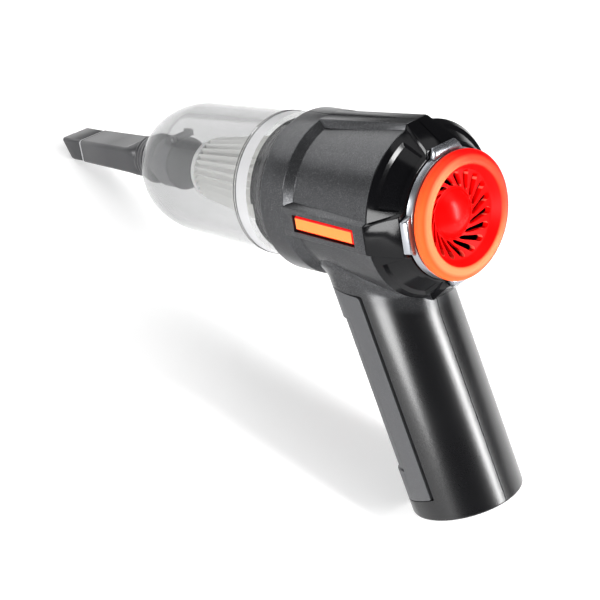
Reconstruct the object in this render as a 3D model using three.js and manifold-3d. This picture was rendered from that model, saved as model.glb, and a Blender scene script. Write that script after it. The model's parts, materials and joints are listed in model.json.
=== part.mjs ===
// Cordless pistol-grip vacuum cleaner with a clear dust cup and a crevice nozzle.
// Millimetres, +Z up. The tool rests on the lower lip of its nozzle mouth and on the
// front edge of its handle base, nozzle towards -X, with the floor at z = 0.
//
// Every piece is drawn in the barrel frame: X runs rearwards along the barrel from the
// front face of the collar, Y is sideways and Z is the top of the barrel. The handle's
// pieces are drawn in a frame of its own, leaning back from the barrel. One group then
// pitches the whole tool down to its resting attitude.
import * as THREE from "three";
import { ConvexGeometry } from "three/addons/geometries/ConvexGeometry.js";
import { mergeVertices } from "three/addons/utils/BufferGeometryUtils.js";
import Module from "manifold-3d";

// ---------------------------------------------------------------- driving dimensions

const GAP = 0.35; // running gap between neighbouring pieces
const ROUND = 36; // facets round the barrel

// Barrel housing
const COLLAR_R = 38.5;
const COLLAR_END = 15;
const PANEL_START = 19.3;
const PANEL_START_R = 35.4;
const PANEL_END = 70.4;
const PANEL_END_R = 40.5;
const WALL = 2.4;
const BAR_HALF = 6.7; // half width of the four raised bars
const BAR_START_R = 38.4;
const BAR_END_R = 42.3;

// Rear cover, bezel and exhaust bell
const COVER_START = PANEL_END + GAP;
const COVER_END = 83.8;
const COVER_END_R = 30.6;
const COVER_WALL = 3.6;
const ARM_END_HALF = 9.6;
const ARM_END_R = 33.0;
const BEZEL_START = COVER_END + GAP;
const BEZEL_END = 87.2;
const BEZEL_IN_R = 27.7;
const BEZEL_OUT_R = 31.3;
const LUG_R = 33.0;
const POCKET_DEPTH = 1.5;
const POCKET_SPREAD = THREE.MathUtils.degToRad(24);
const BELL_END = 94;
const HUB_R = 11.5;
const BOWL_R = 20.6; // the bowl's floor, at its wall
const SLOT_IN_R = 12.2;
const SLOT_OUT_R = 20;
const SLOTS = 18;
const SLOT_SWEEP = THREE.MathUtils.degToRad(24);

// Side lenses, in the left and right bars
const LENS_START = 22;
const LENS_END = 63;
const LENS_HALF = 3.8;
const LENS_DEPTH = 2.6;

// Dust cup
const CUP_END_R = 35.4;
const DOME_START = -78;
const DOME_R = 32.4;
const DOME_LENGTH = 39;
const CUP_WALL = 1.6;
const SOCKET_FRONT = -118;
const SOCKET_REAR = -106;
const SOCKET_IN_R = 9.2;
const SOCKET_OUT_R = 10.8;

// Inlet duct and its flap
const DUCT_FRONT = -109.6;
const DUCT_REAR = -99;
const DUCT_OUT_R = 13;
const FLAP_R = 13.4;
const FLAP_FRONT = DUCT_REAR + 0.4;
const FLAP_PIVOT_X = DUCT_REAR + 1.3;
const FLAP_PIVOT_Z = 14.6;

// Filter and its seat
const FILTER_FRONT = -78;
const FILTER_CAP_R = 15;
const PLEAT_FRONT_R = 15.9;
const PLEAT_REAR_R = 22.6;
const PLEAT_REAR = -23.4;
const PLEATS = 30;
const SEAT_FRONT = -20;
const SEAT_TUBE_R = 18;
const COLLAR_OVERLAP = 5; // how far the filter's collar pushes over its seat
const SPIGOT_FRONT = -13.5;
const SPIGOT_R = 32.6;
const SEAT_PLATE_R = 35.2;

// Crevice nozzle and its sliding tip
const NOZZLE_FRONT = -174.5;
const NOZZLE_FLARE = -134;
const NOZZLE_BASE = -118.6;
const PLUG_R = 8.8;
const BORE_HALF_WIDTH = 8.5;
const BORE_HALF_HEIGHT = 5.1;
const TIP_FRONT = -189.5;
const TIP_REAR = -140;
const TIP_WALL = 1.2;
const HEAD_HALF_WIDTH = 9.3; // the tip's head, flush with the nozzle
const HEAD_HALF_HEIGHT = 5.9;
const MOUTH_CUTBACK = 6; // how far the mouth's lower lip stands behind its upper one

// Handle
const HANDLE_X = 28; // where the handle's axis crosses the barrel's
const LEAN = THREE.MathUtils.degToRad(15.6);
const GRIP_A = 24.4; // half depth, front to back
const GRIP_B = 28.6; // half width
const GRIP_FLAT = 22; // the front is flattened at this depth
const GRIP_WALL = 3.6;
const BASE_S = 151.3; // distance down the handle's axis to its base
const BASE_SLOPE = 0.1693; // rise of that distance per millimetre rearwards
const PANEL_DEPTH = 1.9;
const PANEL_BACK = 6; // the front panel's rear edge
const PANEL_BOTTOM = 141.5;
const PANEL_SIDE_GAP = 1.7; // shadow gap behind the panel's rear edge
const STRIP_BACK = -5.5; // the strip's rear edge
const STRIP_TOP = 50;
const STRIP_BOTTOM = 126;
const STRIP_RECESS = 0.8;
const BUTTON_S = 64;
const BUTTON_FACE = -GRIP_FLAT - 0.2;
const BUTTON_STEM = -18.2; // clear of the switch by more than the button's travel
const BUTTON_HALF = 5.5;
const BUTTON_REACH = 10; // half length
const LIGHT_S = 84;
const LIGHT_HALF = 1.8;
const LIGHT_REACH = 6;

// Screws and the bosses that they run into
const GRIP_SCREWS = { grip_screw_top: [16, 62], grip_screw_bottom: [15, 128] }; // a, s
const BARREL_SCREW = [60, 31.5]; // x, z
const BOSS_R = 4.2;
const BOSS_REACH = 17.5;
const HEAD_R = 2.9;
const SCREW_R = 1.3;

// Motor
const MOTOR_R = 17;
const MOTOR_FRONT = 22;
const MOTOR_REAR = 64;
const SHAFT_R = 1.6;
const IMPELLER_R = 27;
const BLADES = 9;

// Battery
const CELL_R = 9.1;
const CELL_LENGTH = 65;
const CELL_TOP = 47;
const CELL_A = 2;

// ---------------------------------------------------------------- solids and frames

const wasm = await Module();
wasm.setup();

function manifold(positions, triangles) {
  return new wasm.Manifold(
    new wasm.Mesh({ numProp: 3, vertProperties: positions, triVerts: triangles }),
  );
}

// A closed geometry as a solid whose faces point out.
function solid(geometry) {
  const bare = new THREE.BufferGeometry();
  const source = geometry.index ? geometry.toNonIndexed() : geometry;
  bare.setAttribute("position", source.getAttribute("position"));
  const merged = mergeVertices(bare, 1e-4);
  const corners = merged.index.array;
  const kept = [];
  for (let i = 0; i < corners.length; i += 3) {
    const [a, b, c] = corners.subarray(i, i + 3);
    if (a !== b && b !== c && c !== a) kept.push(a, b, c);
  }
  const positions = merged.attributes.position.array;
  const made = manifold(positions, new Uint32Array(kept));
  if (made.volume() > 0) return made;
  return manifold(positions, new Uint32Array(kept.reverse()));
}

const join = (...solids) => solids.reduce((all, one) => all.add(one));
const cut = (body, ...tools) => tools.reduce((left, tool) => left.subtract(tool), body);

// A profile of [x, radius] points turned about the barrel's axis.
function turned(profile, facets = ROUND) {
  const points = profile.map(([x, r]) => new THREE.Vector2(r, x));
  const last = profile[profile.length - 1];
  if (profile[0][1] > 0 || last[1] > 0) points.push(points[0].clone());
  return solid(new THREE.LatheGeometry(points, facets).rotateZ(-Math.PI / 2));
}

const tube = (x0, x1, rIn, rOut, facets) =>
  turned([[x0, rIn], [x0, rOut], [x1, rOut], [x1, rIn]], facets);
const disc = (x0, x1, r, facets) => turned([[x0, 0], [x0, r], [x1, r], [x1, 0]], facets);

const blockGeometry = (x0, x1, y0, y1, z0, z1) =>
  new THREE.BoxGeometry(x1 - x0, y1 - y0, z1 - z0).translate(
    (x0 + x1) / 2, (y0 + y1) / 2, (z0 + z1) / 2);
const block = (...limits) => solid(blockGeometry(...limits));

const hull = (points) => solid(new ConvexGeometry(points.map((p) => new THREE.Vector3(...p))));

// A round rod along Y.
const crossRod = (r, y0, y1, x, z, facets = 12) =>
  solid(new THREE.CylinderGeometry(r, r, y1 - y0, facets).translate(x, (y0 + y1) / 2, z));

const onHandle = new THREE.Matrix4()
  .makeTranslation(HANDLE_X, 0, 0)
  .multiply(new THREE.Matrix4().makeRotationY(-LEAN));

// Pieces of the handle are drawn with a rearwards, y sideways and s down the handle.
const gripBlock = (a0, a1, y0, y1, s0, s1) =>
  solid(blockGeometry(a0, a1, y0, y1, -s1, -s0).applyMatrix4(onHandle));

const gripRod = (r, s0, s1, a, y, facets = 20) =>
  solid(
    new THREE.CylinderGeometry(r, r, s1 - s0, facets)
      .rotateX(Math.PI / 2)
      .translate(a, y, -(s0 + s1) / 2)
      .applyMatrix4(onHandle));

// A screw, boss or pin across the handle.
const gripCrossRod = (r, y0, y1, a, s, facets = 12) =>
  solid(
    new THREE.CylinderGeometry(r, r, y1 - y0, facets)
      .translate(a, (y0 + y1) / 2, -s)
      .applyMatrix4(onHandle));

// The handle's section: an ellipse with a flattened front, moved in by an inset.
function gripPrism(inset, s0, s1) {
  const a = GRIP_A - inset;
  const b = GRIP_B - inset;
  const limit = Math.acos(-(GRIP_FLAT - inset) / a);
  const section = new THREE.Shape();
  section.absellipse(0, 0, a, b, -limit, limit, false, 0);
  return solid(
    new THREE.ExtrudeGeometry(section, { depth: s1 - s0, bevelEnabled: false, curveSegments: 28 })
      .translate(0, 0, -s1)
      .applyMatrix4(onHandle));
}

// An outline in the handle's middle plane, given as [a, s] points, drawn across the handle.
function gripOutline(points, halfWidth) {
  const outline = new THREE.Shape(points.map(([a, s]) => new THREE.Vector2(a, -s)));
  return solid(
    new THREE.ExtrudeGeometry(outline, { depth: 2 * halfWidth, bevelEnabled: false })
      .rotateX(Math.PI / 2)
      .translate(0, halfWidth, 0)
      .applyMatrix4(onHandle));
}

// An outline with round ends, seen from the front of the handle.
function gripPill(a0, a1, halfWidth, s0, s1) {
  const pill = new THREE.Shape();
  pill.absarc(0, -s0 - halfWidth, halfWidth, 0, Math.PI, false);
  pill.absarc(0, -s1 + halfWidth, halfWidth, Math.PI, 2 * Math.PI, false);
  return solid(
    new THREE.ExtrudeGeometry(pill, { depth: a1 - a0, bevelEnabled: false, curveSegments: 6 })
      .rotateX(Math.PI / 2)
      .rotateZ(Math.PI / 2)
      .translate(a0, 0, 0)
      .applyMatrix4(onHandle));
}

const HUGE = 400;
const SIDES = { left: -1, right: 1 };

// One half of a shell that is split down the middle of the tool.
function half(body, side) {
  const seam = GAP / 2;
  const keep = side === "left"
    ? block(-HUGE, HUGE, -HUGE, -seam, -HUGE, HUGE)
    : block(-HUGE, HUGE, seam, HUGE, -HUGE, HUGE);
  return body.intersect(keep);
}

// The barrel's four sides, as turns about X from the top.
const QUARTERS = [0, 1, 2, 3].map((turn) => (turn * Math.PI) / 2);

function quarterHull(points, turn) {
  const c = Math.cos(turn);
  const s = Math.sin(turn);
  return hull(points.map(([x, y, z]) => [x, y * c - z * s, y * s + z * c]));
}

// ---------------------------------------------------------------- materials

const finish = (color, roughness, metalness = 0, extra = {}) =>
  new THREE.MeshStandardMaterial({ color, roughness, metalness, ...extra });

const MATERIALS = {
  gunmetal: finish(0x3d3e40, 0.38, 0.25),
  satinBlack: finish(0x1b1b1c, 0.42),
  glossBlack: finish(0x0e0e0f, 0.16),
  panelGrey: finish(0x4a4b4d, 0.45),
  silver: finish(0x9a9c9f, 0.3, 0.7),
  red: finish(0xf01a12, 0.22),
  orange: finish(0xff7a35, 0.25),
  smoke: finish(0xc9ccce, 0.08, 0, { transparent: true, opacity: 0.35 }),
  ductGrey: finish(0x5a5b5d, 0.5),
  rubber: finish(0x2a2a2b, 0.8),
  white: finish(0xe9e9e6, 0.7),
  steel: finish(0xb4b6b8, 0.3, 0.9),
  copper: finish(0xb46a3c, 0.4, 0.8),
  magnet: finish(0x37383a, 0.6, 0.3),
  cell: finish(0x2f6fb3, 0.5),
  board: finish(0x1d6a3a, 0.6),
  leadRed: finish(0xb3201c, 0.6),
  leadBlack: finish(0x161616, 0.6),
};

const tool = new THREE.Group();

function addPiece(name, body, material) {
  const { numProp, numVert, vertProperties, triVerts } = body.getMesh();
  const positions = new Float32Array(numVert * 3);
  for (let i = 0; i < numVert; i++) {
    positions.set(vertProperties.subarray(i * numProp, i * numProp + 3), i * 3);
  }
  const geometry = new THREE.BufferGeometry();
  geometry.setAttribute("position", new THREE.BufferAttribute(positions, 3));
  geometry.setIndex(new THREE.BufferAttribute(triVerts, 1));
  const mesh = new THREE.Mesh(geometry, material);
  mesh.name = name;
  tool.add(mesh);
}

// ---------------------------------------------------------------- housing

const barFace = (x) =>
  BAR_START_R + ((BAR_END_R - BAR_START_R) * (x - COLLAR_END)) / (PANEL_END - COLLAR_END);

// A raised bar along the barrel, with sloping sides.
function barrelBar(turn) {
  const foot = BAR_HALF + 1.6;
  const points = [];
  for (const [x, top, base] of [
    [COLLAR_END - 3, barFace(COLLAR_END - 3), PANEL_START_R - 1],
    [PANEL_END, BAR_END_R, PANEL_END_R - 2],
  ]) {
    points.push([x, -BAR_HALF, top], [x, BAR_HALF, top], [x, -foot, base], [x, foot, base]);
  }
  return quarterHull(points, turn);
}

// The block that a lens fills, or its pocket when it is grown by a margin.
function lensBlock(side, margin, topMargin) {
  const points = [];
  for (const x of [LENS_START - margin, LENS_END + margin]) {
    for (const depth of [topMargin, -LENS_DEPTH - margin]) {
      const y = SIDES[side] * (barFace(x) + depth);
      points.push([x, y, -LENS_HALF - margin], [x, y, LENS_HALF + margin]);
    }
  }
  return hull(points);
}

// The region of the handle's skin that the front panel covers.
function panelRegion(margin) {
  const back = PANEL_BACK + (margin > 0 ? PANEL_SIDE_GAP : 0);
  const front = -GRIP_A - 5;
  const outline = gripOutline(
    [
      [back, 40.5 - margin],
      [-1, 37.2 - margin],
      [-12, 33.6 - margin],
      [front, 31 - margin],
      [front, PANEL_BOTTOM + margin],
      [back, PANEL_BOTTOM + margin],
    ],
    GRIP_B + 5,
  );
  return cut(outline, disc(-20, PANEL_END, COLLAR_R + 1.6 - margin));
}

// Holes through the handle's front, a running gap larger than what sits in them.
const frontHole = (halfWidth, s, reach) =>
  gripPill(-40, -10, halfWidth + GAP, s - reach - GAP, s + reach + GAP);
const buttonHole = frontHole(BUTTON_HALF, BUTTON_S, BUTTON_REACH);
const lightHole = frontHole(LIGHT_HALF, LIGHT_S, LIGHT_REACH);

function screwHoles() {
  const holes = Object.values(GRIP_SCREWS).flatMap(([a, s]) => [
    gripCrossRod(SCREW_R + GAP, -12, HUGE, a, s),
    gripCrossRod(HEAD_R + GAP, 9, HUGE, a, s),
  ]);
  const [x, z] = BARREL_SCREW;
  holes.push(crossRod(SCREW_R + GAP, -9, HUGE, x, z));
  holes.push(crossRod(HEAD_R + GAP, 14, HUGE, x, z));
  return holes;
}

function housing() {
  const barrel = turned([
    [0.5, 0], [0, COLLAR_R - 0.5], [0.5, COLLAR_R], [COLLAR_END, COLLAR_R],
    [PANEL_START, PANEL_START_R], [PANEL_END, PANEL_END_R], [PANEL_END, 0],
  ]);
  const bars = QUARTERS.map(barrelBar);
  const base = gripOutline(
    [
      [-40, BASE_S - 40 * BASE_SLOPE],
      [40, BASE_S + 40 * BASE_SLOPE],
      [40, 190],
      [-40, 190],
    ],
    60,
  );
  const outer = cut(join(barrel, ...bars, gripPrism(0, 20, 165)), base);
  const barrelHollow = turned([
    [-1, 0], [-1, SEAT_PLATE_R + GAP], [13.5, SEAT_PLATE_R + GAP], [15.5, PANEL_START_R - WALL],
    [PANEL_END + 1, PANEL_END_R - WALL], [PANEL_END + 1, 0],
  ]);
  const gripHollow = gripPrism(GRIP_WALL, 25, BASE_S - 6);
  const bosses = Object.values(GRIP_SCREWS).map(([a, s]) =>
    gripCrossRod(BOSS_R, -BOSS_REACH, BOSS_REACH, a, s));
  bosses.push(crossRod(BOSS_R, -BOSS_REACH, BOSS_REACH, ...BARREL_SCREW));
  const shell = join(cut(outer, barrelHollow, gripHollow), ...bosses);
  const panelRecess = cut(gripPrism(-2, 30, 150), gripPrism(PANEL_DEPTH + GAP, 29, 151))
    .intersect(panelRegion(GAP));
  return cut(
    shell,
    lensBlock("left", GAP, 1),
    lensBlock("right", GAP, 1),
    panelRecess,
    buttonHole,
    lightHole,
    gripBlock(0.6, 6.4, -5.4, 5.4, 140, 170),
    ...screwHoles(),
  );
}

const housingBody = housing();
for (const side of ["left", "right"]) {
  addPiece(`housing_${side}`, half(housingBody, side), MATERIALS.gunmetal);
  addPiece(`side_lens_${side}`, lensBlock(side, 0, -0.5), MATERIALS.orange);
}

const frontPanel = cut(
  gripPrism(0, 30, 150),
  gripPrism(PANEL_DEPTH, 29, 151),
  gripBlock(-40, STRIP_BACK + GAP, -60, 60, STRIP_TOP - GAP, STRIP_BOTTOM + GAP),
).intersect(panelRegion(0));
addPiece("front_panel", frontPanel, MATERIALS.panelGrey);

const gripStrip = cut(
  gripPrism(STRIP_RECESS, 40, 140)
    .intersect(gripBlock(-40, STRIP_BACK, -60, 60, STRIP_TOP, STRIP_BOTTOM)),
  gripPrism(PANEL_DEPTH, 39, 141),
  buttonHole,
  lightHole,
);
addPiece("grip_strip", gripStrip, MATERIALS.satinBlack);

// ---------------------------------------------------------------- button, light, screws

addPiece(
  "power_button",
  gripPill(BUTTON_FACE, BUTTON_STEM, BUTTON_HALF, BUTTON_S - BUTTON_REACH, BUTTON_S + BUTTON_REACH),
  MATERIALS.panelGrey,
);
addPiece(
  "charge_light",
  gripPill(-21, -16, LIGHT_HALF, LIGHT_S - LIGHT_REACH, LIGHT_S + LIGHT_REACH),
  MATERIALS.orange,
);

// Head countersunk in the right half, thread in the left half's boss.
const screwParts = (rod, place, headStart, tip) => join(
  rod(SCREW_R, tip, headStart + 1, ...place),
  rod(HEAD_R, headStart, headStart + 2, ...place),
);
for (const [name, place] of Object.entries(GRIP_SCREWS)) {
  addPiece(name, screwParts(gripCrossRod, place, 9 + GAP, -10), MATERIALS.steel);
}
addPiece("barrel_screw", screwParts(crossRod, BARREL_SCREW, 14 + GAP, -7), MATERIALS.steel);

// ---------------------------------------------------------------- rear cover and bezel

const coverRadius = (x) =>
  PANEL_END_R + ((COVER_END_R - PANEL_END_R) * (x - COVER_START)) / (COVER_END - COVER_START);

// One of the four faceted arms that run from the bars to the bezel.
function coverArm(turn) {
  const start = BAR_HALF;
  const end = ARM_END_HALF;
  return quarterHull(
    [
      [COVER_START, -start, BAR_END_R], [COVER_START, start, BAR_END_R],
      [COVER_START, -start - 1.6, PANEL_END_R - 3], [COVER_START, start + 1.6, PANEL_END_R - 3],
      [COVER_END, -end, ARM_END_R - 1], [COVER_END, end, ARM_END_R - 1],
      [COVER_END, -end - 0.8, COVER_END_R - 3], [COVER_END, end + 0.8, COVER_END_R - 3],
    ],
    turn,
  );
}

// A shallow pocket between two arms: a band under the cone's skin, kept to one wedge.
function coverPocket(turn) {
  const [x0, x1] = [COVER_START + 2.6, COVER_END - 2.4];
  const [r0, r1] = [coverRadius(x0), coverRadius(x1)];
  const band = turned([
    [x0, r0 - POCKET_DEPTH], [x0, r0 + 3], [x1, r1 + 3], [x1, r1 - POCKET_DEPTH],
  ]);
  const reach = 60;
  const corners = [[0, 0], ...[-POCKET_SPREAD, 0, POCKET_SPREAD].map((angle) => [
    reach * Math.sin(Math.PI / 4 + angle), reach * Math.cos(Math.PI / 4 + angle)])];
  const wedge = corners.flatMap(([y, z]) => [[x0 - 1, y, z], [x1 + 1, y, z]]);
  return band.intersect(quarterHull(wedge, turn));
}

const coverShell = turned([
  [COVER_START, PANEL_END_R - COVER_WALL], [COVER_START, PANEL_END_R],
  [COVER_END, COVER_END_R], [COVER_END, 24.8], [COVER_END - 2, 24.8],
  [COVER_END - 2, COVER_END_R - COVER_WALL + 1],
]);
const coverHollow = turned([
  [COVER_START - 1, 0], [COVER_START - 1, PANEL_END_R - COVER_WALL + 0.6],
  [COVER_END - 2, COVER_END_R - COVER_WALL + 1], [COVER_END - 2, 24.8],
  [COVER_END + 1, 24.8], [COVER_END + 1, 0],
]);
const coverBody = cut(
  join(coverShell, ...QUARTERS.map(coverArm)),
  coverHollow,
  ...QUARTERS.map(coverPocket),
);

// Lugs of the bezel, one on each arm.
function bezelLug(turn) {
  const points = [];
  for (const [x, top] of [[BEZEL_START, LUG_R], [BEZEL_END, LUG_R - 1.6]]) {
    points.push([x, -6.2, top], [x, 6.2, top], [x, -9.2, top - 3], [x, 9.2, top - 3]);
    points.push([x, -8.6, 28.2], [x, 8.6, 28.2]);
  }
  return quarterHull(points, turn);
}
const bezelBody = cut(
  join(
    turned([
      [BEZEL_START, BEZEL_IN_R], [BEZEL_START, BEZEL_OUT_R - 1.5],
      [BEZEL_END, BEZEL_OUT_R - 2.4], [BEZEL_END, BEZEL_IN_R],
    ]),
    ...QUARTERS.map(bezelLug),
  ),
  disc(BEZEL_START - 1, BEZEL_END + 1, BEZEL_IN_R),
);
for (const side of ["left", "right"]) {
  addPiece(`rear_cover_${side}`, half(coverBody, side), MATERIALS.glossBlack);
  addPiece(`vent_bezel_${side}`, half(bezelBody, side), MATERIALS.silver);
}

// ---------------------------------------------------------------- exhaust bell

// One swirled slot through the bowl's floor, between the hub and the wall.
function bellSlot(index) {
  const steps = 2;
  const sides = [[], []];
  for (let i = 0; i <= steps; i++) {
    const t = i / steps;
    const r = THREE.MathUtils.lerp(SLOT_IN_R, SLOT_OUT_R, t);
    const middle = SLOT_SWEEP * Math.sin((t * Math.PI) / 2);
    const width = 0.115 - 0.03 * t;
    sides[0].push([r, middle - width]);
    sides[1].unshift([r, middle + width]);
  }
  const points = [...sides[0], ...sides[1]].map(([r, angle]) => {
    const at = angle + (index * 2 * Math.PI) / SLOTS;
    return new THREE.Vector2(r * Math.cos(at), r * Math.sin(at));
  });
  return solid(
    new THREE.ExtrudeGeometry(new THREE.Shape(points), { depth: 30, bevelEnabled: false })
      .rotateY(Math.PI / 2)
      .translate(70, 0, 0));
}

const bell = turned([
  [79.6, 0], [79.6, 24.3], [BEZEL_START, 24.3], [BEZEL_START + 0.2, 27.2],
  [BEZEL_END + GAP, 27.2], [88.6, 29], [90.8, 29.7], [92.8, 27.7], [BELL_END, 24.5],
  [93.4, 23.3], [88.9, BOWL_R], [84.3, HUB_R + 0.6], [85, HUB_R], [88.4, 7.6], [90, 0],
]);
const slots = Array.from({ length: SLOTS }, (_, i) => bellSlot(i));
addPiece("exhaust_bell", cut(bell, ...slots), MATERIALS.red);

// ---------------------------------------------------------------- filter seat and seal

const seatBody = join(
  tube(SPIGOT_FRONT, 1, SPIGOT_R - 2.6, SPIGOT_R),
  tube(SEAT_FRONT, 1, SEAT_TUBE_R - 2.2, SEAT_TUBE_R),
  tube(0.4, 3.4, SEAT_TUBE_R - 2.2, SEAT_PLATE_R),
);
const keyway = (side, x0, x1, margin) =>
  block(x0, x1, ...(side === "left"
    ? [-SPIGOT_R - 1, -SPIGOT_R + 1.3 - margin]
    : [SPIGOT_R - 1.3 + margin, SPIGOT_R + 1]), -7 - margin, 2 + margin);
const sealGroove = tube(-9.6, -6.4, SPIGOT_R - 1.2, SPIGOT_R + 1);
addPiece(
  "filter_seat",
  cut(
    seatBody,
    keyway("left", SPIGOT_FRONT - 1, -10.2, 0),
    keyway("right", SPIGOT_FRONT - 1, -10.2, 0),
    sealGroove,
  ),
  MATERIALS.satinBlack,
);
addPiece("cup_seal", tube(-9.25, -6.75, SPIGOT_R - 0.85, SPIGOT_R + 0.35), MATERIALS.rubber);

// ---------------------------------------------------------------- dust cup

const domePoint = (angle, inset) => [
  DOME_START - (DOME_LENGTH - inset) * Math.sin(angle),
  (DOME_R - inset) * Math.cos(angle),
];
const noseAngle = (inset) => Math.acos(SOCKET_OUT_R / (DOME_R - inset));
function domeArc(inset) {
  const steps = 6;
  return Array.from({ length: steps + 1 }, (_, i) =>
    domePoint((noseAngle(inset) * i) / steps, inset));
}

const cupWall = turned([
  [-0.4, CUP_END_R - CUP_WALL], [-0.4, CUP_END_R], ...domeArc(0),
  ...domeArc(CUP_WALL).reverse(),
]);
// Two keys inside the cup's mouth slide into the spigot's keyways.
const cupKey = (side) =>
  block(SPIGOT_FRONT + 0.3, -10.6, ...(side === "left"
    ? [-SPIGOT_R - 1.4, -SPIGOT_R + 0.9]
    : [SPIGOT_R - 0.9, SPIGOT_R + 1.4]), -6.6, 1.6);
addPiece(
  "dust_cup",
  join(
    cupWall,
    tube(SOCKET_FRONT, SOCKET_REAR, SOCKET_IN_R, SOCKET_OUT_R, 32),
    cupKey("left"),
    cupKey("right"),
  ),
  MATERIALS.smoke,
);

// ---------------------------------------------------------------- inlet duct and flap

const ductTube = turned([
  [DUCT_FRONT, SOCKET_OUT_R + GAP], [DUCT_FRONT, DUCT_OUT_R], [DUCT_REAR, DUCT_OUT_R],
  [DUCT_REAR, SOCKET_IN_R], [SOCKET_REAR + GAP, SOCKET_IN_R],
  [SOCKET_REAR + GAP, SOCKET_OUT_R + GAP],
], 32);
const ductLug = (y) => join(
  block(DUCT_REAR - 2.6, DUCT_REAR - 0.2, y - 0.9, y + 0.9, 11, FLAP_PIVOT_Z + 1.9),
  block(DUCT_REAR - 2.6, FLAP_PIVOT_X + 1.8, y - 0.9, y + 0.9, 13.1, FLAP_PIVOT_Z + 1.9),
);
const pinHole = crossRod(1.15, -8, 8, FLAP_PIVOT_X, FLAP_PIVOT_Z);
addPiece(
  "inlet_duct",
  cut(join(ductTube, ductLug(-5.6), ductLug(5.6)), pinHole),
  MATERIALS.ductGrey,
);
addPiece("flap_pin", crossRod(0.8, -6.5, 6.5, FLAP_PIVOT_X, FLAP_PIVOT_Z), MATERIALS.steel);

const flapDome = turned([
  [FLAP_FRONT, 0], [FLAP_FRONT, FLAP_R - 0.5], [FLAP_FRONT + 0.5, FLAP_R],
  [FLAP_FRONT + 2, FLAP_R], [FLAP_FRONT + 4.6, FLAP_R - 2.4], [FLAP_FRONT + 6.4, FLAP_R - 6.4],
  [FLAP_FRONT + 7, 0],
], 32);
const flapKnuckle = join(
  crossRod(1.9, -4.3, 4.3, FLAP_PIVOT_X, FLAP_PIVOT_Z),
  block(FLAP_FRONT + 0.2, FLAP_PIVOT_X + 1.2, -4.3, 4.3, 10, FLAP_PIVOT_Z - 1.3),
);
addPiece("inlet_flap", cut(join(flapDome, flapKnuckle), pinHole), MATERIALS.rubber);

// ---------------------------------------------------------------- filter

// A pleated cone with an open rear end: its section is a star that grows rearwards.
function pleatedCone(x0, x1, r0, r1) {
  const points = 2 * PLEATS;
  const ring = (x, radius) =>
    Array.from({ length: points }, (_, i) => {
      const at = (i * 2 * Math.PI) / points;
      const r = radius(i);
      return [x, r * Math.cos(at), r * Math.sin(at)];
    });
  const star = (r) => (i) => (i % 2 ? r - 2.6 : r);
  const bore = (r) => () => r - 4.4;
  const vertices = [
    ...ring(x0, star(r0)), ...ring(x1, star(r1)), ...ring(x1, bore(r1)), ...ring(x0, bore(r0)),
  ];
  const triangles = [];
  for (let loop = 0; loop < 4; loop++) {
    const next = (loop + 1) % 4;
    for (let i = 0; i < points; i++) {
      const j = (i + 1) % points;
      const corners = [loop * points + i, loop * points + j, next * points + j, next * points + i];
      triangles.push(corners[0], corners[1], corners[2], corners[0], corners[2], corners[3]);
    }
  }
  const geometry = new THREE.BufferGeometry();
  geometry.setAttribute("position", new THREE.Float32BufferAttribute(vertices.flat(), 3));
  geometry.setIndex(triangles);
  return solid(geometry);
}

const capRear = FILTER_FRONT + 4.2;
addPiece(
  "filter_cap",
  turned([
    [FILTER_FRONT, 0], [FILTER_FRONT, FILTER_CAP_R - 1.2], [FILTER_FRONT + 1.2, FILTER_CAP_R],
    [capRear, FILTER_CAP_R + 0.6], [capRear, 0],
  ], 40),
  MATERIALS.white,
);
addPiece(
  "filter_pleats",
  pleatedCone(capRear + GAP, PLEAT_REAR, PLEAT_FRONT_R, PLEAT_REAR_R),
  MATERIALS.white,
);
addPiece(
  "filter_collar",
  tube(SEAT_FRONT - 3, SEAT_FRONT + COLLAR_OVERLAP, SEAT_TUBE_R + GAP, 23.6),
  MATERIALS.white,
);

// ---------------------------------------------------------------- nozzle and tip

const rectangle = (x, halfWidth, halfHeight) => [
  [x, -halfWidth, -halfHeight], [x, halfWidth, -halfHeight],
  [x, -halfWidth, halfHeight], [x, halfWidth, halfHeight],
];
// A rectangle with its corners cut off.
const rounded = (x, halfWidth, halfHeight, corner = 1.2) => [
  ...rectangle(x, halfWidth - corner, halfHeight),
  ...rectangle(x, halfWidth, halfHeight - corner),
];
const circle = (x, r, facets = 24) =>
  Array.from({ length: facets }, (_, i) => {
    const at = (i * 2 * Math.PI) / facets;
    return [x, r * Math.cos(at), r * Math.sin(at)];
  });

const nozzleOuter = join(
  hull([...rounded(NOZZLE_FRONT, 9.6, 6.2), ...rounded(NOZZLE_FLARE, 10.6, 6.9)]),
  hull([...rounded(NOZZLE_FLARE, 10.6, 6.9), ...circle(-126.5, 10.6)]),
  turned([
    [-127, 0], [-126.8, 10.6], [-125.8, 11], [-125.2, 10.6], [-123.9, 10.9], [-123.3, 11.6],
    [-122.2, 11.8], [-121.6, 11.6], [NOZZLE_BASE, 13], [NOZZLE_BASE, 0],
  ], 24),
  disc(NOZZLE_BASE - 0.5, -107, PLUG_R, 24),
);
const nozzleBore = join(
  hull([
    ...rectangle(NOZZLE_FRONT - 1, BORE_HALF_WIDTH, BORE_HALF_HEIGHT),
    ...rectangle(-137, BORE_HALF_WIDTH, BORE_HALF_HEIGHT),
  ]),
  hull([...rectangle(-137.5, 7, BORE_HALF_HEIGHT), ...circle(-127, 7.2)]),
  disc(-127.5, -106, 7.2, 24),
);
addPiece("nozzle", cut(nozzleOuter, nozzleBore), MATERIALS.satinBlack);

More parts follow.
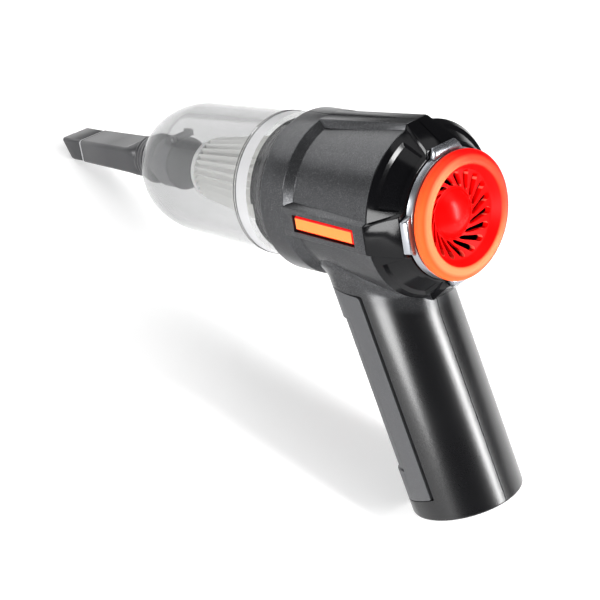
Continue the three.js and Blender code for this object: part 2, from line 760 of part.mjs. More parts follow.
const tipHalfWidth = BORE_HALF_WIDTH - 0.3;
const tipHalfHeight = BORE_HALF_HEIGHT - 0.3;
const tipSection = (x) => rounded(x, tipHalfWidth, tipHalfHeight, 0.9);
const tipBore = hull([
  ...rectangle(TIP_FRONT - 5, tipHalfWidth - TIP_WALL, tipHalfHeight - TIP_WALL),
  ...rectangle(TIP_REAR + 1, tipHalfWidth - TIP_WALL, tipHalfHeight - TIP_WALL),
]);
// The wedge in front of the slanted mouth.
const cutback = MOUTH_CUTBACK / (2 * HEAD_HALF_HEIGHT);
const mouthCut = hull(
  [-12, 12].flatMap((y) => [
    [TIP_FRONT - 3 * cutback, y, HEAD_HALF_HEIGHT + 3],
    [TIP_FRONT + MOUTH_CUTBACK + 3 * cutback, y, -HEAD_HALF_HEIGHT - 3],
    [TIP_FRONT - 20, y, HEAD_HALF_HEIGHT + 3],
    [TIP_FRONT - 20, y, -HEAD_HALF_HEIGHT - 3],
  ]),
);
const headSection = (x) => rounded(x, HEAD_HALF_WIDTH, HEAD_HALF_HEIGHT);
const tipHead = hull([...headSection(TIP_FRONT), ...headSection(NOZZLE_FRONT - GAP)]);
const tipStem = hull([...tipSection(TIP_FRONT), ...tipSection(TIP_REAR)]);
addPiece(
  "nozzle_tip",
  cut(join(tipHead, tipStem), tipBore, mouthCut),
  MATERIALS.satinBlack,
);

// ---------------------------------------------------------------- motor and fan

const mountPlate = 24;
const mountVents = Array.from({ length: 6 }, (_, i) => {
  const at = (i * Math.PI) / 3;
  return solid(
    new THREE.CylinderGeometry(4.4, 4.4, 10, 10)
      .rotateZ(Math.PI / 2)
      .translate(mountPlate, 24.5 * Math.cos(at), 24.5 * Math.sin(at)));
});
addPiece(
  "motor_mount",
  cut(
    join(
      tube(4, mountPlate + 2, 30.2, 32.4),
      tube(mountPlate, mountPlate + 2, MOTOR_R + GAP, 31),
    ),
    ...mountVents,
  ),
  MATERIALS.ductGrey,
);

const BEARING_R = 5.9;
const BEARING_WIDTH = 3.2;
addPiece(
  "motor_can",
  cut(
    disc(MOTOR_FRONT, MOTOR_REAR, MOTOR_R, 40),
    disc(MOTOR_FRONT + 4, MOTOR_REAR - 4, MOTOR_R - 1.8, 40),
    disc(MOTOR_FRONT - 1, MOTOR_REAR + 1, BEARING_R + GAP, 24),
  ),
  MATERIALS.steel,
);
const bearing = (x) => tube(x, x + BEARING_WIDTH, SHAFT_R + GAP, BEARING_R, 24);
addPiece("bearing_front", bearing(MOTOR_FRONT + 0.3), MATERIALS.steel);
addPiece("bearing_rear", bearing(MOTOR_REAR - BEARING_WIDTH - 0.3), MATERIALS.steel);
const magnetRing = tube(30, 54, 13.3, 14.8, 40);
const magnetGap = block(20, 60, -HUGE, HUGE, -5, 5);
for (const [name, z0, z1] of [["magnet_upper", 0, HUGE], ["magnet_lower", -HUGE, 0]]) {
  const side = block(20, 60, -HUGE, HUGE, z0, z1);
  addPiece(name, cut(magnetRing.intersect(side), magnetGap), MATERIALS.magnet);
}

addPiece("motor_shaft", disc(7, MOTOR_REAR - 0.5, SHAFT_R, 20), MATERIALS.steel);
const armatureSlots = Array.from({ length: 6 }, (_, i) => {
  const at = (i * Math.PI) / 3;
  return solid(
    blockGeometry(28, 58, -1.1, 1.1, 7, 14).rotateX(at));
});
addPiece(
  "armature",
  cut(tube(30.5, 54, SHAFT_R + GAP, 12.4, 36), ...armatureSlots),
  MATERIALS.copper,
);

// Backward-curved blades on a plate, with a hub on the shaft.
function blade(index) {
  const steps = 4;
  const line = Array.from({ length: steps + 1 }, (_, i) => {
    const t = i / steps;
    const r = THREE.MathUtils.lerp(7, IMPELLER_R - 1, t);
    const at = (index * 2 * Math.PI) / BLADES + 0.7 * t;
    return [r, at];
  });
  const thick = 0.7;
  const edge = (sign) =>
    line.map(([r, at]) =>
      new THREE.Vector2(r * Math.cos(at + (sign * thick) / r), r * Math.sin(at + (sign * thick) / r)));
  const outline = new THREE.Shape([...edge(-1), ...edge(1).reverse()]);
  return solid(
    new THREE.ExtrudeGeometry(outline, { depth: 9.4, bevelEnabled: false })
      .rotateY(Math.PI / 2)
      .translate(9, 0, 0));
}
addPiece(
  "impeller",
  cut(
    join(
      disc(18, 19.4, IMPELLER_R, 48),
      disc(8.6, 18.5, 5.4, 24),
      ...Array.from({ length: BLADES }, (_, i) => blade(i)),
    ),
    disc(6, 21, SHAFT_R + GAP, 20),
  ),
  MATERIALS.ductGrey,
);

// ---------------------------------------------------------------- battery and electronics

for (const [name, y] of [["battery_cell_left", -CELL_R - 0.5], ["battery_cell_right", CELL_R + 0.5]]) {
  addPiece(
    name,
    join(
      gripRod(CELL_R, CELL_TOP, CELL_TOP + CELL_LENGTH, CELL_A, y, 28),
      gripRod(3, CELL_TOP - 1, CELL_TOP + 1, CELL_A, y, 16),
    ),
    MATERIALS.cell,
  );
}
const cellBottom = CELL_TOP + CELL_LENGTH;
const trayFront = CELL_A - CELL_R - 1.7;
addPiece(
  "battery_tray",
  join(
    gripBlock(trayFront, trayFront + 1.3, -17, 17, CELL_TOP - 2.8, cellBottom + 1.8),
    gripBlock(trayFront, CELL_A + 6, -17, 17, CELL_TOP - 2.8, CELL_TOP - 1.4),
    gripBlock(trayFront, CELL_A + 6, -17, 17, cellBottom + 0.4, cellBottom + 1.8),
  ),
  MATERIALS.ductGrey,
);
addPiece("circuit_board", gripBlock(-3, -1.4, -15, 15, 116, 143), MATERIALS.board);
addPiece(
  "charge_socket",
  cut(
    gripBlock(1, 6, -5, 5, 142, 150.6),
    gripBlock(1.9, 5.1, -4.1, 4.1, 144, 152),
  ),
  MATERIALS.steel,
);
addPiece(
  "power_switch",
  join(
    gripBlock(-14.6, trayFront - 0.4, -6, 6, BUTTON_S - 6.5, BUTTON_S + 6.5),
    gripRod(1.6, BUTTON_S - 1.6, BUTTON_S + 1.6, -14.5, 0, 12),
  ),
  MATERIALS.satinBlack,
);

// The leads from the battery tray up to the motor's front end.
function lead(y) {
  const start = new THREE.Vector3(CELL_A + 11, y, -(CELL_TOP + 6)).applyMatrix4(onHandle);
  const path = new THREE.CatmullRomCurve3([
    start,
    new THREE.Vector3(CELL_A + 11, y, -CELL_TOP + 8).applyMatrix4(onHandle),
    new THREE.Vector3(57, y, -26),
    new THREE.Vector3(66.5, y, -19),
    new THREE.Vector3(67.5, y, -12),
  ]);
  const section = new THREE.Shape();
  section.absarc(0, 0, 0.9, 0, 2 * Math.PI, false);
  return solid(
    new THREE.ExtrudeGeometry(section, { steps: 14, curveSegments: 4, extrudePath: path }));
}
addPiece("motor_lead_red", lead(-3), MATERIALS.leadRed);
addPiece("motor_lead_black", lead(3), MATERIALS.leadBlack);

// ---------------------------------------------------------------- resting attitude

const lipX = TIP_FRONT + MOUTH_CUTBACK;
const lipZ = -HEAD_HALF_HEIGHT;
const baseS = BASE_S - GRIP_FLAT * BASE_SLOPE;
const edge = new THREE.Vector3(-GRIP_FLAT, 0, -baseS).applyMatrix4(onHandle);
const pitch = Math.atan2(lipZ - edge.z, edge.x - lipX);
tool.rotation.y = -pitch;

const part = new THREE.Group();
part.add(tool);
part.updateMatrixWorld(true);
const bounds = new THREE.Box3().setFromObject(part, true);
const centre = bounds.getCenter(new THREE.Vector3());
tool.position.set(-centre.x, 0, -bounds.min.z);

export default part;
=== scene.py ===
# %% [markdown]
# # A handheld vacuum cleaner
# The tool has a tapering barrel, a clear dust cup and a crevice nozzle in front of it, a
# faceted rear cover around a red exhaust bell, and a handle that leans back. The packed
# frame gives every solid its place. This script builds the smooth, bevelled skins that
# stand for the visible solids, and gives each piece and each inner solid its finish.

# %% Load the frame
import json
import math
import bpy
import bmesh
from mathutils import Matrix, Vector


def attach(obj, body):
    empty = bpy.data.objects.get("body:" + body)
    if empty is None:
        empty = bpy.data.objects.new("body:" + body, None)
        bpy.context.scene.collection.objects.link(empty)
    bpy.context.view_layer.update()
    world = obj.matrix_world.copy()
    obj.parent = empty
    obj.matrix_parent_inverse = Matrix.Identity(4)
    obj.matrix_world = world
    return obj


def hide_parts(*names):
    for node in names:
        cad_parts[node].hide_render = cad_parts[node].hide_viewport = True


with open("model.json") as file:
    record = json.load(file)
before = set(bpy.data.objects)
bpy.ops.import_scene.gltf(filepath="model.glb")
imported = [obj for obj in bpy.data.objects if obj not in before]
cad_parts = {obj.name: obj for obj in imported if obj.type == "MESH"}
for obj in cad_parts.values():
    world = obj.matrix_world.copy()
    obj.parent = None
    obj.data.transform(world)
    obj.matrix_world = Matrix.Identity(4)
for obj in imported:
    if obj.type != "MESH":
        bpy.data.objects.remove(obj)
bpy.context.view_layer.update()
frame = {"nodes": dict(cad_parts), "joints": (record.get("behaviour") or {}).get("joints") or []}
nodes = frame["nodes"]

# %% [markdown]
# ## Two working frames
# The tool lies pitched down on its nozzle, so drawing it in the row frame would be awkward.
# Every piece is drawn in millimetres in one of two frames instead. In the barrel frame x
# runs rearwards from the collar's front face and z is the top of the barrel. In the handle
# frame x (called a) runs rearwards through the handle, and z runs up it, so a distance s
# down the handle is z = -s. Both come from joints of the frame: the rotor turns about the
# barrel's axis, and the button moves along a.

# %% Working frames
MM = 0.001
ROTOR_X = 40  # the rotor joint's place along the barrel
HANDLE_X = 28  # where the handle's axis crosses the barrel's

joints = {joint["name"]: joint for joint in frame["joints"]}


def frame_of(origin, x_axis):
    """A matrix from millimetres in a frame with that x axis, and the row's y axis, to the row."""
    x = Vector(x_axis).normalized()
    y = Vector((0, 1, 0))
    turn = Matrix((x, y, x.cross(y))).transposed().to_4x4()
    return Matrix.Translation(origin) @ turn @ Matrix.Scale(MM, 4)


along = Vector(joints["rotor_spin"]["axis"])
nose = Vector(joints["rotor_spin"]["pos_m"]) - ROTOR_X * MM * along
BARREL = frame_of(nose, along)
HANDLE = frame_of(BARREL @ Vector((HANDLE_X, 0, 0)), joints["button_press"]["axis"])
to_barrel = BARREL.inverted()
handle_in_barrel = to_barrel @ HANDLE
print("barrel pitch", round(math.degrees(math.asin(along.z)), 2), "degrees")

# %% [markdown]
# ## Camera, floor and light
# The tool is seen from behind on its left side, from above. A long lens keeps it close to
# parallel, and the view is rolled so that the tool lies across the frame. The floor is one
# pale sheet. Light is soft: wide panels overhead and in front light the whole tool and make
# its soft shadow, a tall strip on the right draws the long highlight down the handle, and two
# small panels low on the left light the barrel's side.

# %% Camera
CAMERA_PLACE = (0.4155, -0.5913, 0.7131)
CAMERA_TURN = (44.98, -12.982, 46.878)  # degrees about x, y and z
LENS_MM, SENSOR_MM = 120, 36

bpy.ops.object.camera_add(location=CAMERA_PLACE)
camera = bpy.context.object
camera.name = "camera"
camera.rotation_euler = [math.radians(turn) for turn in CAMERA_TURN]
camera.data.lens = LENS_MM
camera.data.sensor_width = SENSOR_MM
bpy.context.scene.camera = camera
print("camera", [round(v, 3) for v in camera.location])

# %% Floor and light
FLOOR_GLOW = 0.15  # light of the floor's own, which keeps the shadow faint
ROOM_LIGHT = 0.10
bpy.context.scene.view_settings.view_transform = "Standard"
bpy.context.scene.view_settings.look = "Medium High Contrast"

bpy.ops.mesh.primitive_plane_add(size=12)
floor = bpy.context.object
floor.name = "floor"
paper = bpy.data.materials.new("pale_floor")
paper.use_nodes = True
sheet = paper.node_tree.nodes["Principled BSDF"].inputs
sheet["Base Color"].default_value = (0.93, 0.93, 0.93, 1)
sheet["Roughness"].default_value = 0.8
sheet["Emission Color"].default_value = (1, 1, 1, 1)
sheet["Emission Strength"].default_value = FLOOR_GLOW
floor.data.materials.append(paper)


def panel_light(name, location, size, power, aim=(0, 0, 0.08)):
    """A soft rectangular light that faces the tool."""
    bpy.ops.object.light_add(type="AREA", location=location)
    light = bpy.context.object
    light.name = name
    light.data.shape = "RECTANGLE"
    light.data.size, light.data.size_y = size
    light.data.energy = power
    toward = Vector(aim) - Vector(location)
    light.rotation_euler = toward.to_track_quat("-Z", "Y").to_euler()
    return light


panel_light("overhead_panel", (0.1, 0.35, 1.5), (1.1, 1.1), 5)
panel_light("right_strip", (0.95, 0.5, 0.72), (0.15, 1.1), 18)
panel_light("left_panel", (0.5, -1.0, 0.36), (0.5, 0.45), 10)
panel_light("left_front_panel", (-0.55, -1.05, 0.34), (0.22, 0.35), 4)
panel_light("front_panel_light", (-1.6, 0.05, 0.80), (1.7, 1.3), 16)
world = bpy.data.worlds.new("studio")
bpy.context.scene.world = world
world.use_nodes = True
world.node_tree.nodes["Background"].inputs["Color"].default_value = (1, 1, 1, 1)
world.node_tree.nodes["Background"].inputs["Strength"].default_value = ROOM_LIGHT

# %% [markdown]
# ## Shader maths
# A finish is easier to read as an expression than as a web of nodes. `Value` wraps one
# socket, and arithmetic on it adds Math nodes. `Finish` makes one material, and its `node`
# method adds any other node from its type, settings and inputs.


# %% Shader helpers
class Value:
    """One output socket, whose arithmetic adds Math nodes."""

    def __init__(self, tree, socket):
        self.tree = tree
        self.socket = socket

    def math(self, operation, first, second):
        node = self.tree.nodes.new("ShaderNodeMath")
        node.operation = operation
        for socket, value in zip(node.inputs, (first, second)):
            if isinstance(value, Value):
                self.tree.links.new(value.socket, socket)
            else:
                socket.default_value = value
        return Value(self.tree, node.outputs[0])

    def __add__(self, other):
        return self.math("ADD", self, other)

    def __sub__(self, other):
        return self.math("SUBTRACT", self, other)

    def __rsub__(self, other):
        return self.math("SUBTRACT", other, self)

    def __mul__(self, other):
        return self.math("MULTIPLY", self, other)

    def __gt__(self, other):
        return self.math("GREATER_THAN", self, other)

    def __lt__(self, other):
        return self.math("LESS_THAN", self, other)

    def clamped(self):
        value = self.math("ADD", self, 0.0)
        value.socket.node.use_clamp = True
        return value

    __radd__ = __add__
    __rmul__ = __mul__


class Finish:
    """One material and its Principled shader."""

    def __init__(self, name):
        self.material = bpy.data.materials.new(name)
        self.material.use_nodes = True
        self.tree = self.material.node_tree
        self.shader = self.tree.nodes["Principled BSDF"]
        self.place = self.node("ShaderNodeTexCoord", output="Object")

    def node(self, kind, settings=None, output=0, **inputs):
        """A node of that type, with its settings made first, and the output that is asked for."""
        node = self.tree.nodes.new(kind)
        for name, value in (settings or {}).items():
            setattr(node, name, value)
        for name, value in inputs.items():
            self.feed(node.inputs[name.replace("_", " ")], value)
        return Value(self.tree, node.outputs[output])

    def feed(self, socket, value):
        if isinstance(value, Value):
            self.tree.links.new(value.socket, socket)
        else:
            socket.default_value = value

    def set(self, **inputs):
        for name, value in inputs.items():
            self.feed(self.shader.inputs[name.replace("_", " ")], value)
        return self

    def noise(self, scale, detail=2.0, stretch=None):
        """Noise from 0 to 1, with scale in features a metre, and longer along one axis if asked."""
        place = self.vector_maths("MULTIPLY", self.place, stretch) if stretch else self.place
        return self.node("ShaderNodeTexNoise", Vector=place, Scale=scale, Detail=detail)

    def between(self, low, high, amount):
        """A colour from low to high."""
        node = self.tree.nodes.new("ShaderNodeMix")
        node.data_type = "RGBA"
        self.feed(node.inputs[0], amount)
        for socket, colour in ((node.inputs[6], low), (node.inputs[7], high)):
            self.feed(socket, colour if isinstance(colour, Value) else (*colour, 1))
        return Value(self.tree, node.outputs[2])

    def bump(self, height, distance, strength=1.0):
        """A normal from a height of 0 to 1, where distance is its depth in metres."""
        return self.node("ShaderNodeBump", Height=height, Distance=distance, Strength=strength)

    def vector_maths(self, operation, first, second=None, output="Vector"):
        """Vector Math on one vector, or on two."""
        node = self.tree.nodes.new("ShaderNodeVectorMath")
        node.operation = operation
        self.feed(node.inputs[0], first)
        if second is not None:
            node.inputs[1].default_value = second
        return Value(self.tree, node.outputs[output])

    def distance_along(self, axis):
        """How far a point lies along an axis from the barrel's front, in millimetres."""
        reach = self.vector_maths("DOT_PRODUCT", self.place, axis, "Value")
        return (reach - nose.dot(axis)) * (1 / MM)

    def distance_off_barrel(self):
        """How far a point lies from the barrel's axis, in millimetres."""
        place = self.vector_maths("SUBTRACT", self.place, nose)
        place = self.vector_maths("CROSS_PRODUCT", place, along)
        return self.vector_maths("LENGTH", place, output="Value") * (1 / MM)


FINISHES = {}
FLECK = 0.45  # spacing of the metallic flecks, in millimetres
FLECK_CORE = 0.30  # how much of that spacing a fleck takes
GRAIN_DEPTH = 0.02  # of the deepest grain, in millimetres
BARREL_REACH = 41.5  # how far from the barrel's axis its own finish reaches
FAR_COAT = 0.4


def moulded(name, colour, roughness, grain=0.5, grain_size=0.35, spread=0.2, sparkle=0.0,
            far=None, **extra):
    """A moulded plastic: a fine spark-eroded grain, slow drifts of tone and gloss, and an
    optional metallic fleck. A far colour takes over away from the barrel. Sizes are in
    millimetres."""
    finish = Finish(name)
    fine = finish.noise(1 / (grain_size * MM), 3)
    slow = finish.noise(28, 2)
    tone = 0.5 * fine + 0.5 * slow
    low = [c * (1 - spread) for c in colour]
    high = [min(1.0, c * (1 + spread) + 0.004) for c in colour]
    base = finish.between(low, high, tone)
    if sparkle:
        fleck = finish.node("ShaderNodeTexVoronoi", Vector=finish.place, Scale=1 / (FLECK * MM))
        lit = (fleck < FLECK_CORE) * finish.noise(500, 1)
        base = finish.between(base, [min(1.0, c + sparkle) for c in colour], lit)
    if far:
        away = ((finish.distance_off_barrel() - BARREL_REACH) * 0.12).clamped()
        base = finish.between(base, finish.between([0.8 * c for c in far], far, tone), away)
        extra["Metallic"] = extra["Metallic"] * (1 - away)
        extra["Coat_Weight"] = FAR_COAT * away
    finish.set(
        Base_Color=base,
        Roughness=roughness + 0.10 * (slow - 0.5) + 0.06 * (fine - 0.5),
        Normal=finish.bump(fine, grain * GRAIN_DEPTH * MM),
        **extra,
    )
    FINISHES[name] = finish.material
    return finish.material


# %% [markdown]
# ## Plastic finishes
# The shells are a satin gunmetal plastic with a fine metallic fleck, the rear cover is
# glossy black, the bell is a saturated gloss red with orange painted on the lit side of its
# rim as painted light, and the nozzle and the duct are plain satin mouldings, with a painted
# highlight of light grey on the nozzle's front rim. They share one recipe and differ in tone,
# gloss and grain.

# %% Mouldings
moulded("gunmetal", (0.046, 0.047, 0.050), 0.29, 0.6, 0.30, 0.22, sparkle=0.16,
        far=(0.006, 0.006, 0.007), Metallic=0.5, Specular_IOR_Level=0.45, Coat_Roughness=0.24)
moulded("gloss_black", (0.004, 0.004, 0.005), 0.13, 0.1, 0.8, 0.3, Specular_IOR_Level=0.25)
moulded("silver", (0.30, 0.31, 0.33), 0.28, 0.3, 0.25, 0.12, Metallic=0.8)
moulded("panel_grey", (0.085, 0.086, 0.090), 0.42, 0.8, 0.35, 0.2, sparkle=0.05, Metallic=0.2)
moulded("nozzle_black", (0.050, 0.050, 0.053), 0.33, 0.5, 0.4, 0.2)
# Light grey for the nozzle's front rim: a painted highlight.
moulded("nozzle_rim_highlight", (0.34, 0.34, 0.35), 0.40, 0.5, 0.4, 0.1)
moulded("seat_black", (0.012, 0.012, 0.013), 0.25, 0.4, 0.4, 0.25)
moulded("duct_grey", (0.10, 0.10, 0.105), 0.45, 1.0, 0.4, 0.2)
moulded("rubber_black", (0.035, 0.035, 0.037), 0.6, 1.2, 0.5, 0.3)
moulded("filter_plastic", (0.80, 0.80, 0.79), 0.45, 0.8, 0.4, 0.05,
        Subsurface_Weight=0.1, Subsurface_Scale=0.002)
moulded("cell_wrap", (0.02, 0.12, 0.38), 0.25, 0.2, 0.6, 0.2, Coat_Weight=0.4)
moulded("lead_red", (0.42, 0.012, 0.01), 0.4, 0.3, 0.3, 0.15)
moulded("lead_black", (0.012, 0.012, 0.012), 0.4, 0.3, 0.3, 0.25)
moulded("magnet_dark", (0.05, 0.05, 0.054), 0.55, 1.2, 0.25, 0.3, Metallic=0.4)
print("mouldings", len(FINISHES))

# %% [markdown]
# ## Red and orange
# The bell and the lenses are coloured through, so light that enters them comes out a little
# further on. A touch of subsurface scattering gives the bell that depth; the lenses get a
# faint painted glow instead. The bell's lip is painted orange on its lit lower left and has a
# painted highlight along its crest, and its slot walls are painted a lit pink. The lens has a
# bright face and a redder chamfer all round it.

# %% Red and orange
# The emission on both lens finishes is a painted glow; the charge light shares the orange one.
moulded("lens_orange", (1.0, 0.19, 0.03), 0.22, 0.1, 0.6, 0.10, Specular_IOR_Level=0.4,
        Emission_Color=(1.0, 0.17, 0.03, 1), Emission_Strength=0.35)
moulded("lens_red", (0.70, 0.004, 0.004), 0.2, 0.1, 0.6, 0.06, Specular_IOR_Level=0.3,
        Emission_Color=(1.0, 0.01, 0.01, 1), Emission_Strength=0.10)


LIP_START_R = 24.0  # where the bell's bowl ends and its lip starts
CREST_X = 92.7
DOME_EDGE_R = 11.0


def bell_red():
    """A saturated red, painted orange on the lower left of the lip where it is lit, with a painted
    highlight along the crest.
    """
    finish = Finish("bell_red")
    fine = finish.noise(2600, 3)
    slow = finish.noise(30, 2)
    lip = ((finish.distance_off_barrel() - LIP_START_R) * 0.22).clamped()
    # Painted light: the lip's lower left, the lit side, is painted orange, and the crest gets a peach
    # painted highlight, stronger on the lit side.
    low_left = BARREL.to_3x3().normalized() @ Vector((0.2, -0.8, -0.56))
    lit = (finish.distance_along(low_left) * 0.03).clamped()
    red = finish.between((0.74, 0.002, 0.003), (0.84, 0.006, 0.005), 0.6 * slow + 0.4 * fine)
    x = finish.distance_along(along)
    crest_highlight = ((x - CREST_X) * 1.4).clamped() * (0.3 + 0.7 * (2.0 * lit).clamped())
    red = finish.between(red, (1.0, 0.125, 0.030), lip * lit)
    bowl = ((finish.distance_off_barrel() - DOME_EDGE_R) * 0.5).clamped()
    finish.set(
        Base_Color=finish.between(red, (1.0, 0.21, 0.09), crest_highlight),
        Roughness=0.24 + 0.06 * slow + 0.2 * bowl,
        Normal=finish.bump(fine, 0.004 * MM),
        Specular_IOR_Level=0.14,
        Subsurface_Weight=0.2,
        Subsurface_Scale=0.003,
    )
    FINISHES["bell_red"] = finish.material


bell_red()
# A lit pink copy of the bell's red for the slot walls: painted light.
moulded("bell_wall_painted_light", (0.95, 0.20, 0.15), 0.5, 0.3, 0.5, 0.08, Specular_IOR_Level=0.3)
print("colours ready")

# %% [markdown]
# ## Clear cup
# The cup is a light smoke-grey plastic. Real refraction would leave its inside dark, so the
# wall is drawn as a thin film: partly see-through where it is seen square on, and denser at
# a slant, as a thick wall is. At a slant its colour is also painted pale, a painted reflection.
# A frosted ring near its mouth hides the key and the seal. Its two beads carry dark lines of
# painted shade, and its front rim is painted pale as a painted highlight.

# %% Clear cup
FROST_FRONT, FROST_REAR = -21.6, -13.6
RIM_FRONT = -1.3
BEADS = (-22.9, -21.4)
BEAD_HALF = 0.28


def clear_cup():
    """The film on the cup's outer faces, and a nearly clear one on its inner faces."""
    finish = Finish("smoke_clear")
    slant = finish.node("ShaderNodeLayerWeight", output="Facing", Blend=0.5)
    x = finish.distance_along(along)
    frosted = (x > FROST_FRONT) * (x < FROST_REAR)
    bare = (x > FROST_REAR) * (x < RIM_FRONT)
    # The front rim is painted pale and made denser: a painted highlight along the edge.
    rim = x > RIM_FRONT
    front, rear = ((x > at - BEAD_HALF) * (x < at + BEAD_HALF) for at in BEADS)
    painted_bead_shade = front + rear
    drift = finish.noise(22, 2)
    fine = finish.noise(1400, 2)
    edge = slant * slant * slant
    edge = edge * edge
    # At a slant the film is painted pale: a painted reflection of the thick wall.
    smoke = finish.between((0.22, 0.223, 0.226), (0.85, 0.85, 0.85), edge)
    smoke = finish.between(smoke, (0.44, 0.44, 0.45), frosted)
    # The two beads are painted dark: painted shade on the clear plastic.
    smoke = finish.between(smoke, (0.10, 0.10, 0.10), painted_bead_shade)
    density = 0.44 + 0.45 * edge + 0.04 * drift + 0.42 * frosted + 0.4 * painted_bead_shade
    density = density - 0.26 * bare + 0.4 * rim
    finish.set(
        Base_Color=finish.between(smoke, (0.7, 0.7, 0.7), rim),
        Roughness=0.06 + 0.03 * drift + 0.25 * frosted,
        Alpha=density.clamped(),
        Normal=finish.bump(fine * frosted + 0.3 * drift, 0.004 * MM),
        IOR=1.55,
    )
    FINISHES["smoke_clear"] = finish.material
    inside = Finish("smoke_inside")
    inside.set(
        Base_Color=(0.6, 0.6, 0.6, 1), Roughness=0.1, Alpha=0.02 + 0.02 * inside.noise(22, 2)
    )
    FINISHES["smoke_inside"] = inside.material


clear_cup()

# %% [markdown]
# ## Paper, metal and board
# The filter is pleated paper: a fibrous white that is rough and slightly uneven. Turned
# steel parts carry fine rings of machining, drawn as noise that is stretched around the
# axis. The armature is wound with enamelled copper wire, and the circuit board has a green
# mask over its traces.


# %% Paper, metal and board
def paper_white():
    finish = Finish("filter_white")
    fibre = finish.noise(700, 6, (1.0, 1.0, 4.0))
    cloud = finish.noise(90, 3)
    finish.set(
        Base_Color=finish.between(
            (0.66, 0.66, 0.64), (0.86, 0.86, 0.84), 0.6 * fibre + 0.4 * cloud),
        Roughness=0.82 + 0.1 * fibre,
        Normal=finish.bump(fibre, 0.06 * MM),
    )
    FINISHES["filter_white"] = finish.material


def ringed(name, colour, roughness, pitch, metallic):
    """A metal with rings of machining or winding along the barrel, pitch in millimetres."""
    finish = Finish(name)
    x = finish.distance_along(along)
    rings = finish.node("ShaderNodeTexNoise", {"noise_dimensions": "1D"},
                        W=x, Scale=1 / pitch, Detail=3.0)
    cloud = finish.noise(60, 3)
    finish.set(
        Base_Color=finish.between([0.75 * c for c in colour], colour, 0.5 * rings + 0.5 * cloud),
        Roughness=roughness + 0.12 * (rings - 0.5) + 0.08 * (cloud - 0.5),
        Metallic=metallic,
        Normal=finish.bump(rings, GRAIN_DEPTH * MM),
    )
    FINISHES[name] = finish.material


def circuit_green():
    finish = Finish("board_green")
    cells = finish.node("ShaderNodeTexVoronoi", {"feature": "DISTANCE_TO_EDGE"},
                        Vector=finish.place, Scale=420)
    trace = cells < 0.06
    drift = finish.noise(300, 2)
    finish.set(
        Base_Color=finish.between((0.006, 0.10, 0.035), (0.02, 0.24, 0.09), trace),
        Roughness=0.32 + 0.2 * drift,
        Normal=finish.bump(trace, 0.03 * MM),
    )
    FINISHES["board_green"] = finish.material


paper_white()
ringed("steel", (0.56, 0.57, 0.58), 0.26, 0.25, 1.0)
ringed("copper_wound", (0.62, 0.24, 0.09), 0.32, 0.45, 0.9)
circuit_green()
print("finishes", len(FINISHES))

# %% [markdown]
# ## Modelling helpers
# Most pieces start as a closed outline that is spun about the barrel's axis, as on a lathe.
# The rest start as a cube whose corners are moved, or as one ring that is extruded from
# section to section. Booleans join and cut them, and a bevel breaks their sharp edges, as a
# mould does.

# %% Modelling helpers
ROUND = 144  # steps in a full turn


def deselect():
    if bpy.context.object and bpy.context.object.mode != "OBJECT":
        bpy.ops.object.mode_set(mode="OBJECT")
    bpy.ops.object.select_all(action="DESELECT")


def only(piece):
    deselect()
    piece.select_set(True)
    bpy.context.view_layer.objects.active = piece


def tidied(piece, merge=0.001):
    """Merges doubled points, drops loose ones and turns the faces outwards."""
    only(piece)
    bpy.ops.object.mode_set(mode="EDIT")
    bpy.ops.mesh.select_all(action="SELECT")
    bpy.ops.mesh.remove_doubles(threshold=merge)
    bpy.ops.mesh.dissolve_degenerate(threshold=1e-4)
    bpy.ops.mesh.delete_loose()
    bpy.ops.mesh.select_all(action="SELECT")
    bpy.ops.mesh.normals_make_consistent(inside=False)
    bpy.ops.object.mode_set(mode="OBJECT")
    return piece


def outline(name, points):
    """A closed loop of edges through the points."""
    deselect()
    bpy.ops.mesh.primitive_circle_add(vertices=len(points), radius=1)
    piece = bpy.context.object
    piece.name = name
    for vertex, point in zip(piece.data.vertices, points):
        vertex.co = point
    return piece


def softened(points, steps=4):
    """A profile of (x, r) or (x, r, radius) points, whose corners with a radius become arcs."""
    made = []
    for i, point in enumerate(points):
        here = Vector(point[:2])
        if len(point) == 2:
            made.append(tuple(here))
            continue
        before = Vector(points[i - 1][:2]) - here
        after = Vector(points[(i + 1) % len(points)][:2]) - here
        start = here + before.normalized() * min(point[2], 0.49 * before.length)
        end = here + after.normalized() * min(point[2], 0.49 * after.length)
        for k in range(steps + 1):
            t = k / steps
            made.append(tuple((1 - t) ** 2 * start + 2 * t * (1 - t) * here + t**2 * end))
    return made


def spun(name, profile, steps=ROUND, angle=2 * math.pi, start=0.0):
    """A closed outline of (x, radius) points, turned about the barrel's axis."""
    c, s = math.cos(start), math.sin(start)
    piece = outline(name, [(x, r * s, r * c) for x, r in profile])
    only(piece)
    bpy.ops.object.mode_set(mode="EDIT")
    bpy.ops.mesh.select_all(action="SELECT")
    if angle < 2 * math.pi:
        bpy.ops.mesh.edge_face_add()
    bpy.ops.mesh.spin(steps=steps, angle=angle, center=(0, 0, 0), axis=(1, 0, 0))
    bpy.ops.object.mode_set(mode="OBJECT")
    return tidied(piece)


def cuboid(name, corner):
    """A cube whose eight corners go where corner(i, j, k) says, with each index 0 or 1."""
    deselect()
    bpy.ops.mesh.primitive_cube_add(size=2)
    piece = bpy.context.object
    piece.name = name
    for vertex in piece.data.vertices:
        vertex.co = corner(*(int(v > 0) for v in vertex.co))
    return tidied(piece)


def box(name, x, y, z):
    return cuboid(name, lambda i, j, k: (x[i], y[j], z[k]))


